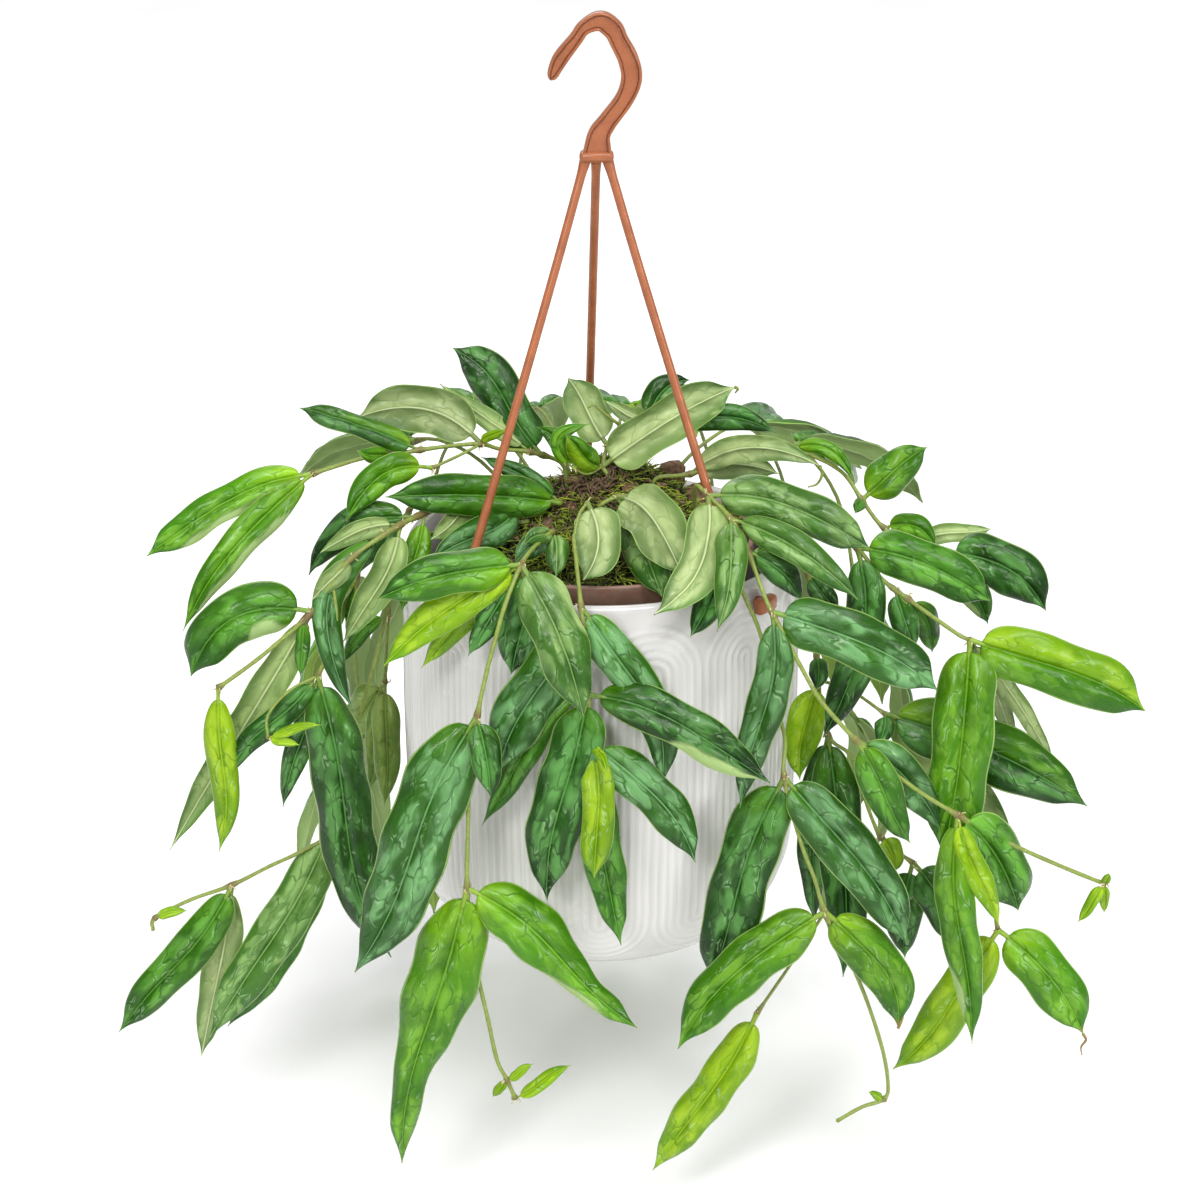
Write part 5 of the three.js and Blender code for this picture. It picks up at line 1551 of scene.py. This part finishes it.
    gloss = ramp(waves(2.2, 3.0, 0.0, 21.0), 0.35, 0.7, 0.24, 0.38)
    tree.links.new(plus(gloss, times(under, 0.28)), shader.inputs["Roughness"])
    tree.links.new(times(topside, 0.24), shader.inputs["Coat Weight"])
    swollen = plus(times(broad, 1.3), times(ramp(edge, 0.0, 0.3), 0.2))
    height = less(swollen, plus(times(crease_shade, 0.12), times(feather, 0.05)))
    grain = times(body_noise(tree, 1500, 2), 0.07)
    raised(tree, shader, plus(times(height, topside), grain), 0.75, 0.0012)
    return skin


def make_stem_skin():
    """Green stem, corky brown at its nodes."""
    skin, tree, shader = new_material("hoya_stem", 0.5)
    tint, vein_and_shade = (read_back(tree, name, "Color") for name in ("tint", "vein_and_shade"))
    grained(tree, shader, body_noise(tree, 700, 6, 0.65), tint, vein_and_shade, 0.5, 0.0004)
    return skin


leaf_skin = make_leaf_skin()
stem_skin = make_stem_skin()


def root_places(x, y):
    """The foot of a stem in its hole in the mix, and where it comes out."""
    surface = soil_top(x, y)
    foot = surface - STEM_HOLE_DEPTH + STEM_HOLE_GAP
    return [np.array([x, y, foot]), np.array([x, y, surface + STEM_UPRIGHT])]


def place_along(line, at):
    """A place on a line of places, counted from 0 at its first."""
    i = min(int(at), len(line) - 2)
    return line[i] + (line[i + 1] - line[i]) * (at - i)


def make_leafy_stem(name, shoots, seed):
    """A stem that the photograph shows, with its side shoots."""
    growth = Growth(seed)
    for shoot in shoots:
        run = [seen(place) for place in shoot["run"]]
        root = root_places(*shoot["root"]) if "root" in shoot else []
        nodes = [len(root) + leaf[0] for leaf in shoot["leaves"]]
        growth.add_stem(root + run, shoot["thick"], nodes)
        for at, tip_place, width, side, arch, roll, look, *outline in shoot["leaves"]:
            base, tip, key = place_along(run, at), seen(tip_place), tip_place[:2]
            facing = unit(EYE - (base + tip) / 2)
            growth.add_leaf(base, tip, facing, width, side, arch, roll, look, *(outline or [""]), key)
            curl = [seen(place) for place in CURLED_TIPS.get(key, [])]
            if curl:
                growth.add_strand([tip, *curl], TENDRIL_THICK, STEM_GREEN)
            dried = [seen(place) for place in DRIED_TIPS.get(key, [])]
            if dried:
                growth.add_strand([tip, *dried], DRIED_THICK, APEX_BROWN)
        for at in sorted({leaf[0] for leaf in shoot["leaves"] if leaf[0] >= 1}):
            growth.add_rootlets(place_along(run, at))
        for tendril in shoot.get("tendrils", []):
            growth.add_strand([seen(place) for place in tendril], TENDRIL_THICK, STEM_GREEN)
    growth.finish(f"{name}_grown", name)


def chances(seed):
    """The same run of chances each time, as the solids were made with."""
    state = seed

    def chance(low, high):
        nonlocal state
        state = (state * 1664525 + 1013904223) % 2 ** 32
        return low + (high - low) * (state / 2 ** 32)

    return chance


def make_back_stem(index):
    """A stem behind the pot, where the photograph shows little: over the rim and down its wall."""
    turn, low = BACK_STEMS[index]
    chance = chances(400 + index)
    growth = Growth(70 + index, BACK_BLADE_ROWS)
    outward = around(turn, 1, 0)
    sideways = np.cross((0, 0, 1), outward)
    root = around(turn, BACK_ROOT_RADIUS, 0)
    rise = chance(0, 5)
    bend = BACK_FALL[-1][1]
    places = root_places(root[0], root[1])
    places += [around(turn, radius, z + rise) for radius, z in BACK_SHOULDER]
    places += [around(turn, radius, z) for radius, z in BACK_FALL]
    places += [around(turn, BACK_BELLY_RADIUS, (low + bend) / 2), around(turn, BACK_END_RADIUS, low)]
    bases = [3 + 4 * pair / (BACK_LEAF_PAIRS - 1) for pair in range(BACK_LEAF_PAIRS)]
    growth.add_stem(places, BACK_THICK, bases)
    facing = unit(outward + (0, 0, 0.4))
    for pair, at in enumerate(bases):
        base = place_along(places, at)
        drops, spreads, reaches = BACK_TOP_PAIR if pair == 0 else BACK_LOW_PAIR
        for hand in (-1, 1):
            drop, spread, away = chance(*drops), chance(*spreads), chance(*reaches)
            tip = base + sideways * hand * spread + outward * away - (0, 0, drop)
            width, side = chance(*BACK_LEAF_WIDTHS), hand * chance(*BACK_LEAF_BOWS)
            arch, roll = chance(*BACK_LEAF_ARCHES), chance(*BACK_LEAF_ROLLS)
            look = BACK_LOOKS[(2 * pair + index + (hand > 0)) % len(BACK_LOOKS)]
            growth.add_leaf(base, tip, facing, width, side, arch, roll, look)
    growth.finish(f"stem_back_{index + 1}_grown", f"stem_back_{index + 1}")


FRONT_STEMS = {
    "stem_left_top": LEFT_TOP, "stem_left_long": LEFT_LONG, "stem_left_low": LEFT_LOW,
    "stem_left_back": LEFT_BACK, "stem_front_left": FRONT_LEFT, "stem_front_crown": FRONT_CROWN,
    "stem_crown_top": CROWN_TOP, "stem_front_middle": FRONT_MIDDLE, "stem_right_top": RIGHT_TOP,
    "stem_right_middle": RIGHT_MIDDLE, "stem_right_long": RIGHT_LONG, "stem_right_low": RIGHT_LOW,
    "stem_right_back": RIGHT_BACK,
}
for number, (stem, table) in enumerate(FRONT_STEMS.items()):
    make_leafy_stem(stem, table, 40 + number)
for number in range(len(BACK_STEMS)):
    make_back_stem(number)


# The studio
# A plain pale floor just below the lowest leaves, under an even pale sky. A broad soft sun stands
# high in front, with a window lamp on each side and a lamp behind that rims the leaves.
FLOOR_Z = -468
PAPER = (0.9, 0.9, 0.9)
PAPER_PALE = (0.93, 0.93, 0.93)
WORLD_LIGHT = 0.46
SUN_LIGHT = 2.2
SUN_SOFTNESS = 36
# In metres: the floor's reach, where the sun and the lamps stand and aim, and a lamp's width,
# which is followed by its power.
FLOOR_REACH = 6
SUN_FROM = (0.4, -0.75, 1.5)
LAMP_AIM = (0, 0, -0.25)
LAMPS = [
    ("front_window", (-0.5, -1.4, 0.8), 0.4, 15),
    ("right_window", (1.4, -1.2, 0.6), 0.4, 10),
    ("rim_lamp", (-0.4, 1.7, 1.2), 1.2, 14),
]


def make_floor():
    mesh = bpy.data.meshes.new("floor")
    far, z = FLOOR_REACH, FLOOR_Z * MM
    corners = [(-far, -far, z), (far, -far, z), (far, far, z), (-far, far, z)]
    mesh.from_pydata(corners, [], [(0, 1, 2, 3)])
    paper, tree, shader = new_material("pale_paper", 0.9)
    shader.inputs["Specular IOR Level"].default_value = 0.1
    coloured(tree, shader, stretched(tree, body_noise(tree, 3, 2), 0.3, 0.7), PAPER, PAPER_PALE)
    mesh.materials.append(paper)
    floor = bpy.data.objects.new("floor", mesh)
    bpy.context.scene.collection.objects.link(floor)


def make_lamp(name, kind, place, power):
    data = bpy.data.lights.new(name, kind)
    data.energy = power
    lamp = bpy.data.objects.new(name, data)
    lamp.location = Vector(place)
    aim = Vector(LAMP_AIM) - lamp.location
    lamp.rotation_euler = aim.to_track_quat("-Z", "Y").to_euler()
    bpy.context.scene.collection.objects.link(lamp)
    return data


def make_studio():
    make_floor()
    world = bpy.data.worlds.new("studio")
    world.use_nodes = True
    sky = world.node_tree.nodes["Background"]
    sky.inputs["Color"].default_value = (1, 1, 1, 1)
    sky.inputs["Strength"].default_value = WORLD_LIGHT
    bpy.context.scene.world = world
    bpy.context.scene.view_settings.view_transform = "Standard"
    make_lamp("key_lamp", "SUN", SUN_FROM, SUN_LIGHT).angle = math.radians(SUN_SOFTNESS)
    for name, place, size, power in LAMPS:
        make_lamp(name, "AREA", place, power).size = size


make_studio()
